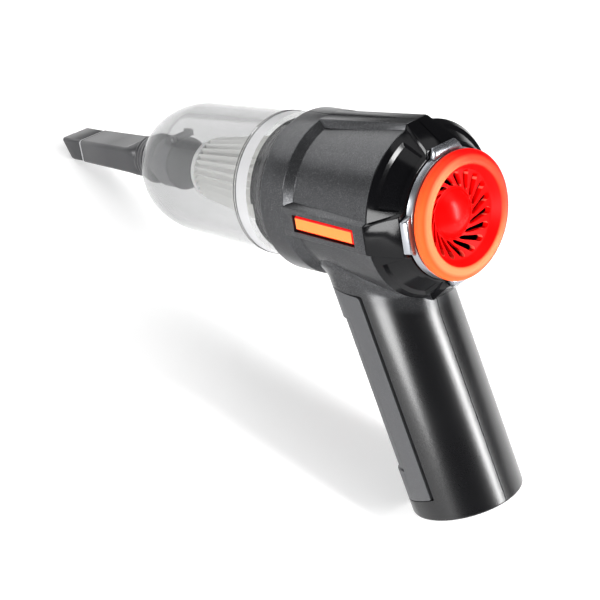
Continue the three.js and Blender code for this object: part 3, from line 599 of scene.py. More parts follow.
def lofted(name, rings):
    """A closed solid whose section goes from ring to ring, by extruding its end face."""
    piece = outline(name, rings[0])
    only(piece)
    bpy.ops.object.mode_set(mode="EDIT")
    bpy.ops.mesh.select_all(action="SELECT")
    bpy.ops.mesh.edge_face_add()
    last = list(range(len(rings[0])))
    for ring in rings[1:]:
        bpy.ops.mesh.extrude_region_move()
        mesh = bmesh.from_edit_mesh(piece.data)
        mesh.verts.ensure_lookup_table()
        mesh.verts.index_update()
        rank = {index: n for n, index in enumerate(last)}
        fresh = [0] * len(ring)
        for vertex in (v for v in mesh.verts if v.select):
            behind = next(e.other_vert(vertex).index for e in vertex.link_edges
                          if e.other_vert(vertex).index in rank)
            vertex.co = ring[rank[behind]]
            fresh[rank[behind]] = vertex.index
        bmesh.update_edit_mesh(piece.data)
        last = fresh
    bpy.ops.object.mode_set(mode="OBJECT")
    return tidied(piece)


def copied(piece, turn=0.0, space=None):
    """A copy with its own mesh, turned about the barrel's axis or moved by a matrix."""
    twin = piece.copy()
    twin.data = piece.data.copy()
    bpy.context.collection.objects.link(twin)
    twin.data.transform(space or Matrix.Rotation(turn, 4, "X"))
    return twin


def combined(piece, others, operation):
    """A boolean with each of the others in turn, which are used up."""
    for other in others:
        only(piece)
        modifier = piece.modifiers.new("boolean", "BOOLEAN")
        modifier.operation = operation
        modifier.solver = "EXACT"
        modifier.object = other
        bpy.ops.object.modifier_apply(modifier=modifier.name)
        bpy.data.objects.remove(other)
    return piece


def joined(piece, *others):
    return combined(piece, others, "UNION")


def less(piece, *others):
    return combined(piece, others, "DIFFERENCE")


def common(piece, *others):
    return combined(piece, others, "INTERSECT")


def bevelled(piece, width, angle=35, segments=2):
    """Breaks every edge sharper than the angle."""
    only(piece)
    modifier = piece.modifiers.new("bevel", "BEVEL")
    modifier.width = width
    modifier.segments = segments
    modifier.limit_method = "ANGLE"
    modifier.angle_limit = math.radians(angle)
    modifier.use_clamp_overlap = True
    bpy.ops.object.modifier_apply(modifier=modifier.name)
    return piece


SEAM = 0.175  # half the gap between the two halves of a split shell
LEFT, RIGHT = -1, 1
SIDE_NAMES = {LEFT: "left", RIGHT: "right"}


def half_of(piece, side):
    """One half of a shell that is split down the tool's middle plane, with a closed seam face."""
    twin = copied(piece)
    only(twin)
    bpy.ops.object.mode_set(mode="EDIT")
    bpy.ops.mesh.select_all(action="SELECT")
    bpy.ops.mesh.bisect(plane_co=(0, side * SEAM, 0), plane_no=(0, -side, 0),
                        use_fill=True, clear_outer=True)
    bpy.ops.object.mode_set(mode="OBJECT")
    return twin


def finished(piece, name, space, body, stands_for, finish, smooth=35):
    """Puts a piece in its place in the row frame, with its finish and body, and hides the frame's solids
    that it stands for.
    """
    piece.name = name
    piece.data.name = name
    piece.data.transform(space)
    piece.data.materials.clear()
    for each in finish if isinstance(finish, tuple) else (finish,):
        piece.data.materials.append(FINISHES[each])
    only(piece)
    bpy.ops.object.shade_smooth_by_angle(angle=math.radians(smooth))
    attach(piece, body)
    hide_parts(*stands_for)
    print(name, len(piece.data.polygons), "faces")
    return piece


QUARTERS = [quarter * math.pi / 2 for quarter in range(4)]

# %% [markdown]
# ## Exhaust bell
# The bell is one turned moulding: a round lip, a deep bowl with a domed hub, and 18 slots
# that sweep round between the hub and the wall. The outline is spun, and a slot cutter is
# extruded once and copied round. The dark inside of the barrel shows through the slots.

# %% Exhaust bell
BELL_LIP = 94.0
HUB_R = 11.5
SLOTS = 18
SLOT_SWEEP = math.radians(26)
SLOT_IN_R, SLOT_OUT_R = 12.2, 20.1


def slot_outline(x):
    """The outline of one slot at a place along the barrel, hub end first."""
    steps = 8
    sides = ([], [])
    for i in range(steps + 1):
        t = i / steps
        r = SLOT_IN_R + (SLOT_OUT_R - SLOT_IN_R) * t
        middle = SLOT_SWEEP * math.sin(t * math.pi / 2)
        width = (0.118 - 0.032 * t) * (0.55 if i in (0, steps) else 1)
        sides[0].append((r, middle - width))
        sides[1].insert(0, (r, middle + width))
    return [(x, r * math.cos(at), r * math.sin(at)) for r, at in sides[0] + sides[1]]


bell = spun("bell", softened([
    (82.6, 0), (82.6, 12.0), (86.4, 22.0), (84.2, 24.2), (84.4, 27.1), (87.5, 27.1),
    (88.4, 29.2, 0.8), (90.9, 29.75, 1.2), (92.9, 27.6, 1.6), (BELL_LIP, 24.3, 1.0), (93.5, 23.2, 0.5),
    (88.9, 20.6, 0.5), (84.7, HUB_R + 0.6, 0.3), (85.2, HUB_R, 0.4),
    (88.4, 7.8, 2.2), (89.7, 4.2, 2.2), (90.0, 0),
], 5))
cutter = lofted("slot", [slot_outline(78), slot_outline(92)])
slots = [copied(cutter, index * 2 * math.pi / SLOTS) for index in range(SLOTS)]
bpy.data.objects.remove(cutter)
less(bell, *slots)
# The slot walls are marked for the pink finish, a painted light on the red bell.
painted_light_wall = []
for face in bell.data.polygons:
    r = math.hypot(face.center.y, face.center.z)
    across = abs(face.normal.z * face.center.y - face.normal.y * face.center.z) / max(r, 1e-6)
    painted_light_wall.append(SLOT_IN_R < r < SLOT_OUT_R and across > 0.8)
finished(bell, "bell", BARREL, "housing", ["exhaust_bell"], ("bell_red", "bell_wall_painted_light"))
bell.data.polygons.foreach_set("material_index", [int(wall) for wall in painted_light_wall])

# %% [markdown]
# ## Rear cover
# The glossy cover is a cone with four arms that carry on from the barrel's bars and widen
# towards the bezel, and a shallow pocket with sloping walls in each quarter between them.
# The cone is spun, the arms are cubes with moved corners, and each pocket is a short spin
# whose outer side is spread so that its walls slope.

# %% Rear cover
COVER_START, COVER_END = 70.75, 83.8
PANEL_END, PANEL_END_R = 70.4, 40.5
COVER_END_R = 30.6
BAR_HALF, BAR_END_R = 6.7, 42.3
COVER_IN_R = 24.8  # of the hole that the bell fills
COVER_WALL = 2.6
COVER_BACK = 2  # thickness of the face behind the bell
POCKET_DEPTH = 1.5
POCKET_SPREAD = math.radians(24)
POCKET_SLOPE = 1.1


def cover_radius(x):
    return PANEL_END_R + (COVER_END_R - PANEL_END_R) * (x - COVER_START) / (COVER_END - COVER_START)


def cover_arm():
    """The arm on top: flat faces that widen and drop towards the bezel."""
    half = (BAR_HALF, 9.6)
    top = (BAR_END_R, 32.4)
    foot = (PANEL_END_R - 3, COVER_END_R - 3)
    x = (COVER_START, COVER_END)

    def corner(i, j, k):
        side = 1 if j else -1
        width = half[i] if k else half[i] + 1.6
        return (x[i], side * width, top[i] if k else foot[i])

    return bevelled(cuboid("arm", corner), 0.45)


def cover_pocket():
    """The space of one pocket, centred on top, with walls that slope outwards."""
    x0, x1 = COVER_START + 3.2, COVER_END - 2.2
    rise = 2.0
    grow = POCKET_SLOPE
    pocket = spun("pocket", [
        (x0, cover_radius(x0) - POCKET_DEPTH), (x1, cover_radius(x1) - POCKET_DEPTH),
        (x1 + grow, cover_radius(x1) + rise), (x0 - grow, cover_radius(x0) + rise),
    ], steps=28, angle=2 * POCKET_SPREAD, start=-POCKET_SPREAD)
    for vertex in pocket.data.vertices:
        x, y, z = vertex.co
        angle = math.atan2(y, z)
        r = math.hypot(y, z)
        if abs(angle) > POCKET_SPREAD - 0.01 and r > cover_radius(x) - 0.5 * POCKET_DEPTH:
            angle += math.copysign(grow / r * 1.6, angle)
            vertex.co = (x, r * math.sin(angle), r * math.cos(angle))
    return pocket


cover = spun("cover", softened([
    (COVER_START, PANEL_END_R - 3.6), (COVER_START, PANEL_END_R, 0.4), (COVER_END, COVER_END_R, 0.4),
    (COVER_END, COVER_IN_R), (COVER_END - COVER_BACK, COVER_IN_R),
    (COVER_END - COVER_BACK, COVER_END_R - COVER_WALL),
]))
arm = cover_arm()
joined(cover, *[copied(arm, turn) for turn in QUARTERS])
bpy.data.objects.remove(arm)
hollow = spun("hollow", [
    (COVER_START - 1, 0), (COVER_START - 1, PANEL_END_R - 3),
    (COVER_END - COVER_BACK, COVER_END_R - COVER_WALL), (COVER_END - COVER_BACK, COVER_IN_R),
    (COVER_END + 1, COVER_IN_R), (COVER_END + 1, 0),
])
pocket = cover_pocket()
less(cover, hollow, *[copied(pocket, turn + math.pi / 4) for turn in QUARTERS])
bpy.data.objects.remove(pocket)
for side, word in SIDE_NAMES.items():
    finished(half_of(cover, side), f"cover_{word}", BARREL, "housing", [f"rear_cover_{word}"],
             "gloss_black", 25)
bpy.data.objects.remove(cover)

# %% [markdown]
# ## Bezel
# A slim silver ring closes the cover around the bell, with one chamfered lug on each arm.

# %% Bezel
BEZEL_START, BEZEL_END = 84.15, 87.2
BEZEL_IN_R = 27.7


def bezel_lug():
    """The lug on top, with its sides sloping in to the ring."""
    x = (BEZEL_START, BEZEL_END)
    top = (33.0, 31.4)

    def corner(i, j, k):
        side = 1 if j else -1
        return (x[i], side * (7.4 if k else 9.2), top[i] if k else 28.3)

    return bevelled(cuboid("lug", corner), 0.5)


bezel = spun("bezel", softened([
    (BEZEL_START, BEZEL_IN_R), (BEZEL_START, 29.8, 0.3), (BEZEL_END, 28.9, 0.5),
    (BEZEL_END, BEZEL_IN_R, 0.3),
]))
lug = bezel_lug()
joined(bezel, *[copied(lug, turn) for turn in QUARTERS])
bpy.data.objects.remove(lug)
less(bezel, spun("bore", [(80, 0), (80, BEZEL_IN_R), (90, BEZEL_IN_R), (90, 0)]))
for side, word in SIDE_NAMES.items():
    finished(half_of(bezel, side), f"bezel_{word}", BARREL, "housing", [f"vent_bezel_{word}"],
             "silver", 30)
bpy.data.objects.remove(bezel)

# %% [markdown]
# ## Housing
# The barrel's shell and the handle are one moulding, split down the middle. The barrel is a
# spun outline with a thick collar and a step, and four flat bars stand on it. The handle is
# an oval column with a flattened front. Where it meets the barrel it swells out a little,
# as the fillet in the mould does, and its base edge is rounded.

# %% Barrel
COLLAR_R, COLLAR_END = 38.5, 15.0
PANEL_START, PANEL_START_R = 19.3, 35.4
BAR_START_R = 38.4
WALL = 2.4
COLLAR_BORE_R, COLLAR_BORE_END = 35.55, 13.5
LENS_START, LENS_END, LENS_HALF, LENS_DEPTH = 22.0, 63.0, 3.8, 2.6
GAP = 0.35


def bar_face(x):
    return BAR_START_R + (BAR_END_R - BAR_START_R) * (x - COLLAR_END) / (PANEL_END - COLLAR_END)


def barrel_bar():
    """The bar on top of the barrel, flat on its face and steep at its sides."""
    x = (COLLAR_END - 0.6, PANEL_END)
    foot = (PANEL_START_R - 1, PANEL_END_R - 2)

    def corner(i, j, k):
        side = 1 if j else -1
        width = BAR_HALF if k else BAR_HALF + 1.6
        return (x[i], side * width, bar_face(x[i]) if k else foot[i])

    return bevelled(cuboid("bar", corner), 0.4)


barrel = spun("barrel", softened([
    (0, 0), (0, COLLAR_R, 0.6), (COLLAR_END, COLLAR_R, 0.5), (PANEL_START, PANEL_START_R, 0.5),
    (PANEL_END, PANEL_END_R, 0.3), (PANEL_END, 0),
]))
bar = barrel_bar()
joined(barrel, *[copied(bar, turn) for turn in QUARTERS])
bpy.data.objects.remove(bar)
print("barrel", len(barrel.data.polygons), "faces")

# %% Handle
GRIP_A, GRIP_B, GRIP_FLAT = 24.4, 28.6, 22.0
GRIP_WALL = 3.6
BASE_S, BASE_SLOPE = 151.3, 0.1693
FILLET = 2.0
FILLET_REACH = 5.0
GRIP_POINTS = 128


def grip_section(inset):
    """The handle's oval, moved in by an inset, as (a, y) points."""
    points = []
    for i in range(GRIP_POINTS):
        at = 2 * math.pi * (i + 0.5) / GRIP_POINTS
        a = (GRIP_A - inset) * math.cos(at)
        points.append((max(a, inset - GRIP_FLAT), (GRIP_B - inset) * math.sin(at)))
    return points


def above_barrel(point):
    """How far a point of the handle's frame lies outside the barrel's cone."""
    x, y, z = handle_in_barrel @ Vector(point)
    widening = (PANEL_END_R - PANEL_START_R) * (x - PANEL_START) / (PANEL_END - PANEL_START)
    return math.hypot(y, z) - (PANEL_START_R + widening)


def grip_ring(s, inset=0.0, slanted=False, swell=0.0):
    """One ring of the handle at a distance down it, parallel to the base where slanted."""
    ring = []
    for a, y in grip_section(inset):
        z = -(s + (BASE_SLOPE * a if slanted else 0))
        near = min(1, max(0, 1 - above_barrel((a, y, z)) / FILLET_REACH))
        grow = 1 + swell * near**2 / math.hypot(a, y)
        ring.append((a * grow, y * grow, z))
    return ring


def grip_column(inset, s0, s1):
    """A plain column of the handle's section."""
    return lofted("column", [grip_ring(s0, inset), grip_ring(s1, inset)])


EDGE = 1.1
column_rings = [grip_ring(s, swell=FILLET) for s in range(14, 48)]
column_rings.append(grip_ring(60))
column_rings += [
    grip_ring(BASE_S - EDGE * (1 - math.sin(turn)), EDGE * (1 - math.cos(turn)), True)
    for turn in [k * math.pi / 8 for k in range(5)]
]
handle = lofted("handle", column_rings)
print("handle", len(handle.data.polygons), "faces")

# %% [markdown]
# The front panel sits in a recess, so the same region of the skin is cut from the shell, a
# little larger, and kept for the panel. Its upper edge is arched.

# %% Panel region
PANEL_DEPTH = 1.9
PANEL_BACK, PANEL_BOTTOM = 6.0, 141.5
PANEL_SIDE_GAP = 1.6  # the shadow gap behind the panel
PANEL_COLLAR_R = COLLAR_R + 1.6  # the panel stays clear of the collar
STRIP_BACK, STRIP_TOP, STRIP_BOTTOM, STRIP_RECESS = -5.5, 50.0, 126.0, 0.8
STRIP_GAP = 0.6
BUTTON_S, BUTTON_HALF, BUTTON_REACH = 64.0, 5.5, 10.0
LIGHT_S, LIGHT_HALF, LIGHT_REACH = 84.0, 1.8, 6.0


def panel_region(margin):
    """The region that the panel covers, as a block across the handle."""
    back = PANEL_BACK + (PANEL_SIDE_GAP if margin else 0)
    front = -GRIP_A - 8
    edge = softened([
        (back, 40.5 - margin, 1.5), (-1, 37.2 - margin, 5), (-12, 33.6 - margin, 6),
        (front, 30.6 - margin), (front, PANEL_BOTTOM + margin), (back, PANEL_BOTTOM + margin, 0.6),
    ])
    reach = GRIP_B + 6
    region = lofted("region", [[(a, y, -s) for a, s in edge] for y in (-reach, reach)])
    clear_r = PANEL_COLLAR_R - margin
    collar = spun("collar", [(-20, 0), (-20, clear_r), (80, clear_r), (80, 0)])
    collar.data.transform(handle_in_barrel.inverted())
    return less(region, collar)


def skin_region(margin, depth, outer_inset):
    """A layer of the handle's skin in the panel's region."""
    layer = grip_column(outer_inset, 28, 152)
    layer = less(layer, grip_column(depth, 27, 153))
    return common(layer, panel_region(margin))


def pill(name, a, half, s, reach, steps=10):
    """A block with round ends on the handle's front, through a[0] to a[1]."""
    edge = []
    for centre, start in ((-(s - reach + half), 0), (-(s + reach - half), math.pi)):
        for k in range(steps + 1):
            at = start + math.pi * k / steps
            edge.append((half * math.cos(at), centre + half * math.sin(at)))
    return lofted(name, [[(x, y, z) for y, z in edge] for x in a])


def front_holes():
    return [
        pill("button_hole", (-40, -10), BUTTON_HALF + GAP, BUTTON_S, BUTTON_REACH + GAP),
        pill("light_hole", (-40, -10), LIGHT_HALF + GAP, LIGHT_S, LIGHT_REACH + GAP),
    ]


# %% Shell cuts
def in_barrel(piece):
    """Turns a piece drawn in the handle's frame into the barrel's."""
    piece.data.transform(handle_in_barrel)
    return piece


def lens_block(side, margin, top):
    """The block that a lens fills in a side bar, or its pocket when it is grown."""
    x = (LENS_START - margin, LENS_END + margin)
    reach = LENS_HALF + margin

    def corner(i, j, k):
        outer = (j == 1) == (side == RIGHT)
        depth = top if outer else -LENS_DEPTH - margin
        return (x[i], side * (bar_face(x[i]) + depth), reach if k else -reach)

    return cuboid("lens", corner)


shell = joined(barrel, in_barrel(handle))
less(
    shell,
    spun("barrel_hollow", [
        (-1, 0), (-1, COLLAR_BORE_R), (COLLAR_BORE_END, COLLAR_BORE_R), (15.5, PANEL_START_R - WALL),
        (PANEL_END + 1, PANEL_END_R - WALL), (PANEL_END + 1, 0),
    ]),
    in_barrel(grip_column(GRIP_WALL, 25, BASE_S - 6)),
    lens_block(LEFT, GAP, 1.0),
    lens_block(RIGHT, GAP, 1.0),
    in_barrel(skin_region(GAP, PANEL_DEPTH + GAP, -3.0)),
    *[in_barrel(hole) for hole in front_holes()],
    in_barrel(box("socket_hole", (0.6, 6.4), (-5.4, 5.4), (-170, -140))),
)
print("shell", len(shell.data.polygons), "faces")

# %% Split shell
for side, word in SIDE_NAMES.items():
    finished(half_of(shell, side), f"shell_{word}", BARREL, "housing", [f"housing_{word}"],
             "gunmetal", 30)
bpy.data.objects.remove(shell)

# %% [markdown]
# ## Lenses
# Each lens is an orange block with a red chamfer, sunk a little into its bar.

# %% Lenses
for side, word in SIDE_NAMES.items():
    lens = bevelled(lens_block(side, -0.2, -0.3), 1.0, segments=1)
    finished(lens, f"lens_{word}", BARREL, "housing", [f"side_lens_{word}"],
             ("lens_orange", "lens_red"), 20)
    outward = Vector((0, side, 0))
    for face in lens.data.polygons:
        if face.normal.dot(outward) < 0.9:
            face.material_index = 1

# %% [markdown]
# ## Front panel and strip
# The panel wraps the front of the handle, and a black strip with the button and the charge
# light lies in it, recessed a little.

# %% Front panel and strip
panel = skin_region(0.0, PANEL_DEPTH, 0.0)
less(panel, box("strip_hole", (-40, STRIP_BACK + STRIP_GAP), (-60, 60),
                (-STRIP_BOTTOM - STRIP_GAP, -STRIP_TOP + STRIP_GAP)))
finished(bevelled(panel, 0.3), "panel", HANDLE, "housing", ["front_panel"],
         "panel_grey", 30)

strip = grip_column(STRIP_RECESS, 40, 140)
strip = less(strip, grip_column(PANEL_DEPTH, 39, 141))
strip = common(strip, box("strip_block", (-40, STRIP_BACK), (-60, 60),
                          (-STRIP_BOTTOM, -STRIP_TOP)))
less(strip, *front_holes())
finished(bevelled(strip, 0.2), "strip", HANDLE, "housing", ["grip_strip"],
         "panel_grey", 30)

# %% Button and light
button = bevelled(pill("button", (-22.2, -18.2), BUTTON_HALF, BUTTON_S, BUTTON_REACH), 0.5)
finished(button, "button", HANDLE, "button", ["power_button"], "panel_grey", 30)
light = bevelled(pill("light", (-21, -16), LIGHT_HALF, LIGHT_S, LIGHT_REACH), 0.3)
finished(light, "light", HANDLE, "housing", ["charge_light"], "lens_orange", 30)

# %% [markdown]
# ## Dust cup
# The cup is a thin spun shell with an elliptical dome, a bead where the frosted ring starts
# and a socket for the nozzle at its front.

# %% Dust cup
CUP_END_R, CUP_WALL = 35.4, 1.6
DOME_START, DOME_R, DOME_LENGTH = -78.0, 32.4, 39.0
SOCKET_OUT_R = 10.8
SPIGOT_R = 32.6


def dome(inset, steps=28):
    """The cup's dome from its widest ring to the socket, moved in by an inset."""
    end = math.acos(SOCKET_OUT_R / (DOME_R - inset))
    return [
        (DOME_START - (DOME_LENGTH - inset) * math.sin(end * k / steps),
         (DOME_R - inset) * math.cos(end * k / steps))
        for k in range(steps + 1)
    ]


def cup_radius(x):
    return CUP_END_R + (DOME_R - CUP_END_R) * (x + 0.4) / (DOME_START + 0.4)


bead = [(at + BEAD_HALF * math.cos(k * math.pi / 4), cup_radius(at) + 0.25 * math.sin(k * math.pi / 4))
        for at in reversed(BEADS) for k in range(5)]
cup = spun("cup", [
    (-0.4, CUP_END_R - CUP_WALL), (-0.4, CUP_END_R), *bead, *dome(0), *dome(CUP_WALL)[::-1],
])


def beside(side, near, far):
    """The y range of a block at that side, from near to far off the spigot's surface."""
    return sorted((side * (SPIGOT_R + near), side * (SPIGOT_R + far)))


keys = [bevelled(box("key", (-13.2, -10.6), beside(side, -0.9, 1.6), (-6.6, 1.6)), 0.3)
        for side in SIDE_NAMES]
socket = spun("socket", softened([
    (-118, 9.2), (-118, SOCKET_OUT_R, 0.4), (-106, SOCKET_OUT_R), (-106, 9.2),
]), steps=72)
joined(cup, socket, *keys)
finished(cup, "cup", BARREL, "cup", ["dust_cup"], ("smoke_clear", "smoke_inside"), 30)
for face in cup.data.polygons:
    x, y, z = to_barrel @ face.center
    inner_r = cup_radius(x) - 0.5 * CUP_WALL
    if x <= DOME_START:
        rise = math.sqrt(max(0, 1 - ((x - DOME_START) / DOME_LENGTH) ** 2))
        inner_r = DOME_R * rise - 0.5 * CUP_WALL
    face.material_index = int(-115 < x < -0.5 and math.hypot(y, z) < inner_r)

# %% [markdown]
# ## Duct and flap
# Dust enters through a short grey duct, closed by a rubber flap that hangs from a pin.

# %% Duct and flap
DUCT_FRONT, DUCT_REAR, DUCT_R = -109.6, -99.0, 13.0
FLAP_FRONT, FLAP_R = -98.6, 13.4
PIVOT_X, PIVOT_Z = -97.7, 14.6
PIN_HOLE_R = 1.15
LUG_Y, LUG_FRONT, LUG_TOP = 5.6, DUCT_REAR - 2.6, PIVOT_Z + 1.9


def cross_rod(radius, reach, x, z, steps=32):
    """A rod across the tool, from -reach to reach."""
    turns = [k * 2 * math.pi / steps for k in range(steps)]
    ring = [(x + radius * math.cos(turn), z + radius * math.sin(turn)) for turn in turns]
    return lofted("rod", [[(a, y, b) for a, b in ring] for y in (-reach, reach)])


duct = spun("duct", softened([
    (DUCT_FRONT, SOCKET_OUT_R + GAP), (DUCT_FRONT, DUCT_R, 0.6), (DUCT_REAR, DUCT_R, 0.5),
    (DUCT_REAR, 9.2, 0.4), (-105.65, 9.2), (-105.65, SOCKET_OUT_R + GAP),
]), steps=96)
for y in (-LUG_Y, LUG_Y):
    across = (y - 0.9, y + 0.9)
    foot = box("foot", (LUG_FRONT, DUCT_REAR - 0.2), across, (11, LUG_TOP))
    lug = box("lug", (LUG_FRONT, PIVOT_X + 1.8), across, (13.1, LUG_TOP))
    joined(duct, bevelled(joined(foot, lug), 0.25))
less(duct, cross_rod(PIN_HOLE_R, 8, PIVOT_X, PIVOT_Z))
finished(duct, "duct", BARREL, "cup", ["inlet_duct"], "duct_grey", 30)

flap = spun("flap", softened([
    (FLAP_FRONT, 0), (FLAP_FRONT, FLAP_R, 0.6), (FLAP_FRONT + 2, FLAP_R, 1.4),
    (FLAP_FRONT + 4.8, FLAP_R - 2.4, 2.4), (FLAP_FRONT + 6.6, FLAP_R - 6.6, 2.6), (FLAP_FRONT + 7, 0),
]), steps=96)
joined(
    flap,
    cross_rod(1.9, 4.3, PIVOT_X, PIVOT_Z),
    box("neck", (FLAP_FRONT + 0.2, PIVOT_X + 1.2), (-4.3, 4.3), (10, PIVOT_Z - 1.3)),
)
less(flap, cross_rod(PIN_HOLE_R, 8, PIVOT_X, PIVOT_Z))
finished(flap, "flap", BARREL, "flap", ["inlet_flap"], "rubber_black", 35)

# %% [markdown]
# ## Filter and its seat
# The filter is a pleated cone between a white cap and a white collar. Each pleat is a
# rounded fold, so the section is a wave of thirty folds that grows rearwards. The collar
# pushes onto the tube of a dark seat, whose spigot carries the cup.

# %% Filter
FILTER_FRONT, CAP_R, CAP_REAR = -78.0, 15.0, -73.8
PLEATS, PLEAT_REAR = 30, -23.4
PLEAT_FRONT_R, PLEAT_REAR_R, PLEAT_DEPTH = 15.9, 22.6, 2.6
FOLD_STEPS = 8  # points in one pleat
PAPER_REACH = 4.4  # from a fold's crest to the bore inside the paper

cap = spun("cap", softened([
    (FILTER_FRONT, 0), (FILTER_FRONT, CAP_R - 0.4, 1.4), (FILTER_FRONT + 3.4, CAP_R + 0.5, 0.5),
    (CAP_REAR, CAP_R + 0.6, 0.3), (CAP_REAR, 0),
]), steps=96)
finished(cap, "filter_cap_skin", BARREL, "filter", ["filter_cap"],
         "filter_plastic", 30)


def pleat_ring(x, radius, depth):
    """A wave of folds at one place along the barrel."""
    count = PLEATS * FOLD_STEPS
    ring = []
    for i in range(count):
        fold = abs(2 * ((i / FOLD_STEPS) % 1) - 1) ** 1.3
        r = radius - depth * (1 - fold)
        at = 2 * math.pi * i / count
        ring.append((x, r * math.cos(at), r * math.sin(at)))
    return ring


def between_ends(t):
    return PLEAT_FRONT_R + (PLEAT_REAR_R - PLEAT_FRONT_R) * t


pleat_x = (CAP_REAR + 0.3, PLEAT_REAR)
pleats = lofted("pleats", [
    pleat_ring(pleat_x[0] + (pleat_x[1] - pleat_x[0]) * t, between_ends(t), PLEAT_DEPTH)
    for t in (0, 0.5, 1)
])
less(pleats, spun("pleat_bore", [
    (pleat_x[0] - 1, 0), (pleat_x[0] - 1, PLEAT_FRONT_R - PAPER_REACH),
    (pleat_x[1] + 1, PLEAT_REAR_R - PAPER_REACH), (pleat_x[1] + 1, 0),
], steps=96))
finished(pleats, "pleats", BARREL, "filter", ["filter_pleats"], "filter_white", 50)

ring = spun("ring", softened([
    (-23, 18.35), (-23, 23.6, 0.5), (-15, 23.6, 0.5), (-15, 18.35),
]), steps=120)
finished(ring, "filter_ring", BARREL, "filter", ["filter_collar"],
         "filter_plastic", 30)

# %% Filter seat and seal
seat = spun("seat", softened([
    (-13.5, 30.0), (-13.5, SPIGOT_R, 0.4), (-9.6, SPIGOT_R, 0.15), (-9.6, SPIGOT_R - 1.2),
    (-6.4, SPIGOT_R - 1.2), (-6.4, SPIGOT_R, 0.15), (0.4, SPIGOT_R), (0.4, 35.2, 0.2), (3.4, 35.2, 0.2),
    (3.4, 15.8), (-20, 15.8), (-20, 18, 0.4), (0.4, 18), (0.4, 30.0),
]))
keyways = [bevelled(box("keyway", (-16, -10.2), beside(side, -1.3, 4), (-7, 2)), 0.5)
           for side in SIDE_NAMES]
less(seat, *keyways)
finished(seat, "seat", BARREL, "housing", ["filter_seat"], "seat_black", 30)
seal = spun("seal", softened([
    (-9.25, 31.75), (-9.25, 32.95, 0.5), (-6.75, 32.95, 0.5), (-6.75, 31.75),
]))
finished(seal, "seal", BARREL, "housing", ["cup_seal"], "rubber_black", 30)

# %% [markdown]
# ## Nozzle and sliding tip
# The nozzle goes from a ringed round base to a flat rounded rectangle. One ring of points
# with round corners is extruded from section to section, and a second one cuts the bore.
# The tip's head is flush with the nozzle, and its mouth is slanted.


# %% Nozzle
def pod_ring(x, half_width, half_height, corner, steps=10):
    """A rectangle with round corners across the barrel, or a circle where the corner is as large."""
    ring = []
    for quarter, (i, j) in enumerate(((1, 1), (-1, 1), (-1, -1), (1, -1))):
        for k in range(steps + 1):
            at = (quarter + k / steps) * math.pi / 2
            ring.append((x, i * (half_width - corner) + corner * math.cos(at),
                         j * (half_height - corner) + corner * math.sin(at)))
    return ring


def round_ring(x, radius):
    return pod_ring(x, radius + 0.01, radius + 0.01, radius)


NOZZLE_RIM = -172.7
BASE_RINGS = [
    (-126.8, 10.6), (-126.2, 10.95), (-125.7, 10.95), (-125.2, 10.6), (-124.1, 10.8), (-123.6, 11.5),
    (-122.5, 11.8), (-121.8, 11.55), (-120.2, 12.1), (-118.9, 12.9), (-118.6, 12.8), (-118.5, 8.8),
    (-107.1, 8.8),
]
nozzle = lofted("nozzle", [
    pod_ring(-174.5, 9.0, 5.6, 1.4), pod_ring(-174.1, 9.4, 6.0, 1.8), pod_ring(-173.0, 9.6, 6.2, 2.0),
    pod_ring(NOZZLE_RIM, 9.6, 6.2, 2.0), pod_ring(-172.5, 9.45, 6.05, 1.9),
    pod_ring(-172.2, 9.6, 6.2, 2.0), pod_ring(-150, 10.2, 6.6, 2.2),
    pod_ring(-136, 10.6, 6.9, 2.4), pod_ring(-133, 10.7, 7.4, 3.2),
    pod_ring(-130, 10.7, 8.7, 5.6), pod_ring(-128, 10.6, 9.8, 8.2),
    *[round_ring(x, radius) for x, radius in BASE_RINGS],
])
less(nozzle, lofted("nozzle_bore", [
    pod_ring(-176, 8.5, 5.1, 0.4), pod_ring(-137, 8.5, 5.1, 0.4), pod_ring(-132, 7.9, 5.9, 3.4),
    round_ring(-127.5, 7.2), round_ring(-106, 7.2),
]))
finished(nozzle, "nozzle_skin", BARREL, "nozzle_body", ["nozzle"],
         ("nozzle_black", "nozzle_rim_highlight"), 40)
# The faces in front of the rim take the light grey finish, a painted highlight.
for face in nozzle.data.polygons:
    face.material_index = int((to_barrel @ face.center).x < NOZZLE_RIM)

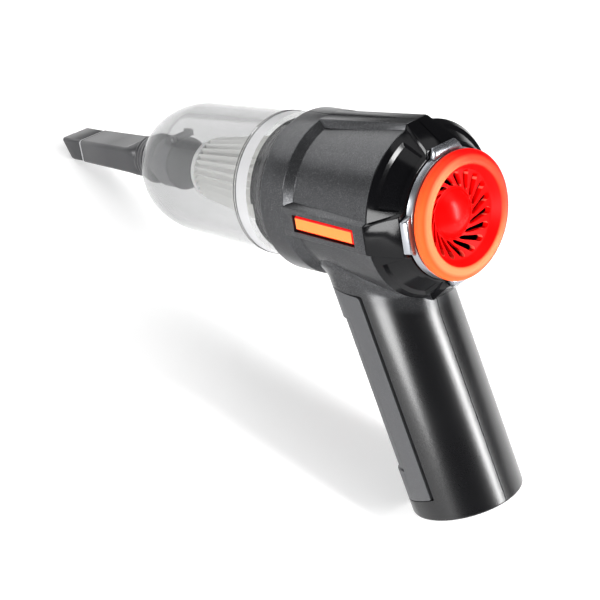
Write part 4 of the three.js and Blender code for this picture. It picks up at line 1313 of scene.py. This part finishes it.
# %% Tip
TIP_FRONT, TIP_HEAD, MOUTH_CUTBACK = -189.4, -174.8, 6.0


def mouth_ring(x, half_width, half_height, corner):
    """A section whose lower side stands back behind its upper one."""
    return [(at + MOUTH_CUTBACK * (half_height - z) / (2 * half_height), y, z)
            for at, y, z in pod_ring(x, half_width, half_height, corner)]


tip = lofted("tip", [
    mouth_ring(TIP_FRONT, 8.8, 5.35, 1.2), mouth_ring(TIP_FRONT + 0.3, 9.15, 5.7, 1.6),
    mouth_ring(TIP_FRONT + 1.0, 9.3, 5.9, 1.8), pod_ring(TIP_HEAD - 0.4, 9.3, 5.9, 1.9),
    pod_ring(TIP_HEAD, 9.1, 5.7, 1.7), pod_ring(TIP_HEAD + 0.01, 8.2, 4.8, 0.8),
    pod_ring(-140, 8.2, 4.8, 0.8),
])
less(tip, lofted("tip_bore", [pod_ring(-196, 7.0, 3.6, 0.5), pod_ring(-139, 7.0, 3.6, 0.5)]))
finished(tip, "tip_skin", BARREL, "tip", ["nozzle_tip"], "nozzle_black", 40)

# %% [markdown]
# ## Inner solids
# The motor, the battery and the small metal parts stay as the frame's own solids. Nothing
# hides them when the cup or the shell is off, so each gets a finish too.

# %% Finishes of the inner solids
SOLID_FINISHES = {
    "flap_pin": "steel", "motor_mount": "duct_grey", "impeller": "duct_grey", "battery_tray": "duct_grey",
    "motor_can": "steel", "bearing_front": "steel", "bearing_rear": "steel", "motor_shaft": "steel",
    "charge_socket": "steel", "grip_screw_top": "steel", "grip_screw_bottom": "steel",
    "barrel_screw": "steel", "armature": "copper_wound", "magnet_upper": "magnet_dark",
    "magnet_lower": "magnet_dark", "battery_cell_left": "cell_wrap", "battery_cell_right": "cell_wrap",
    "circuit_board": "board_green", "power_switch": "seat_black", "motor_lead_red": "lead_red",
    "motor_lead_black": "lead_black",
}
for name, finish in SOLID_FINISHES.items():
    nodes[name].data.materials.clear()
    nodes[name].data.materials.append(FINISHES[finish])
print("solids finished", len(SOLID_FINISHES))
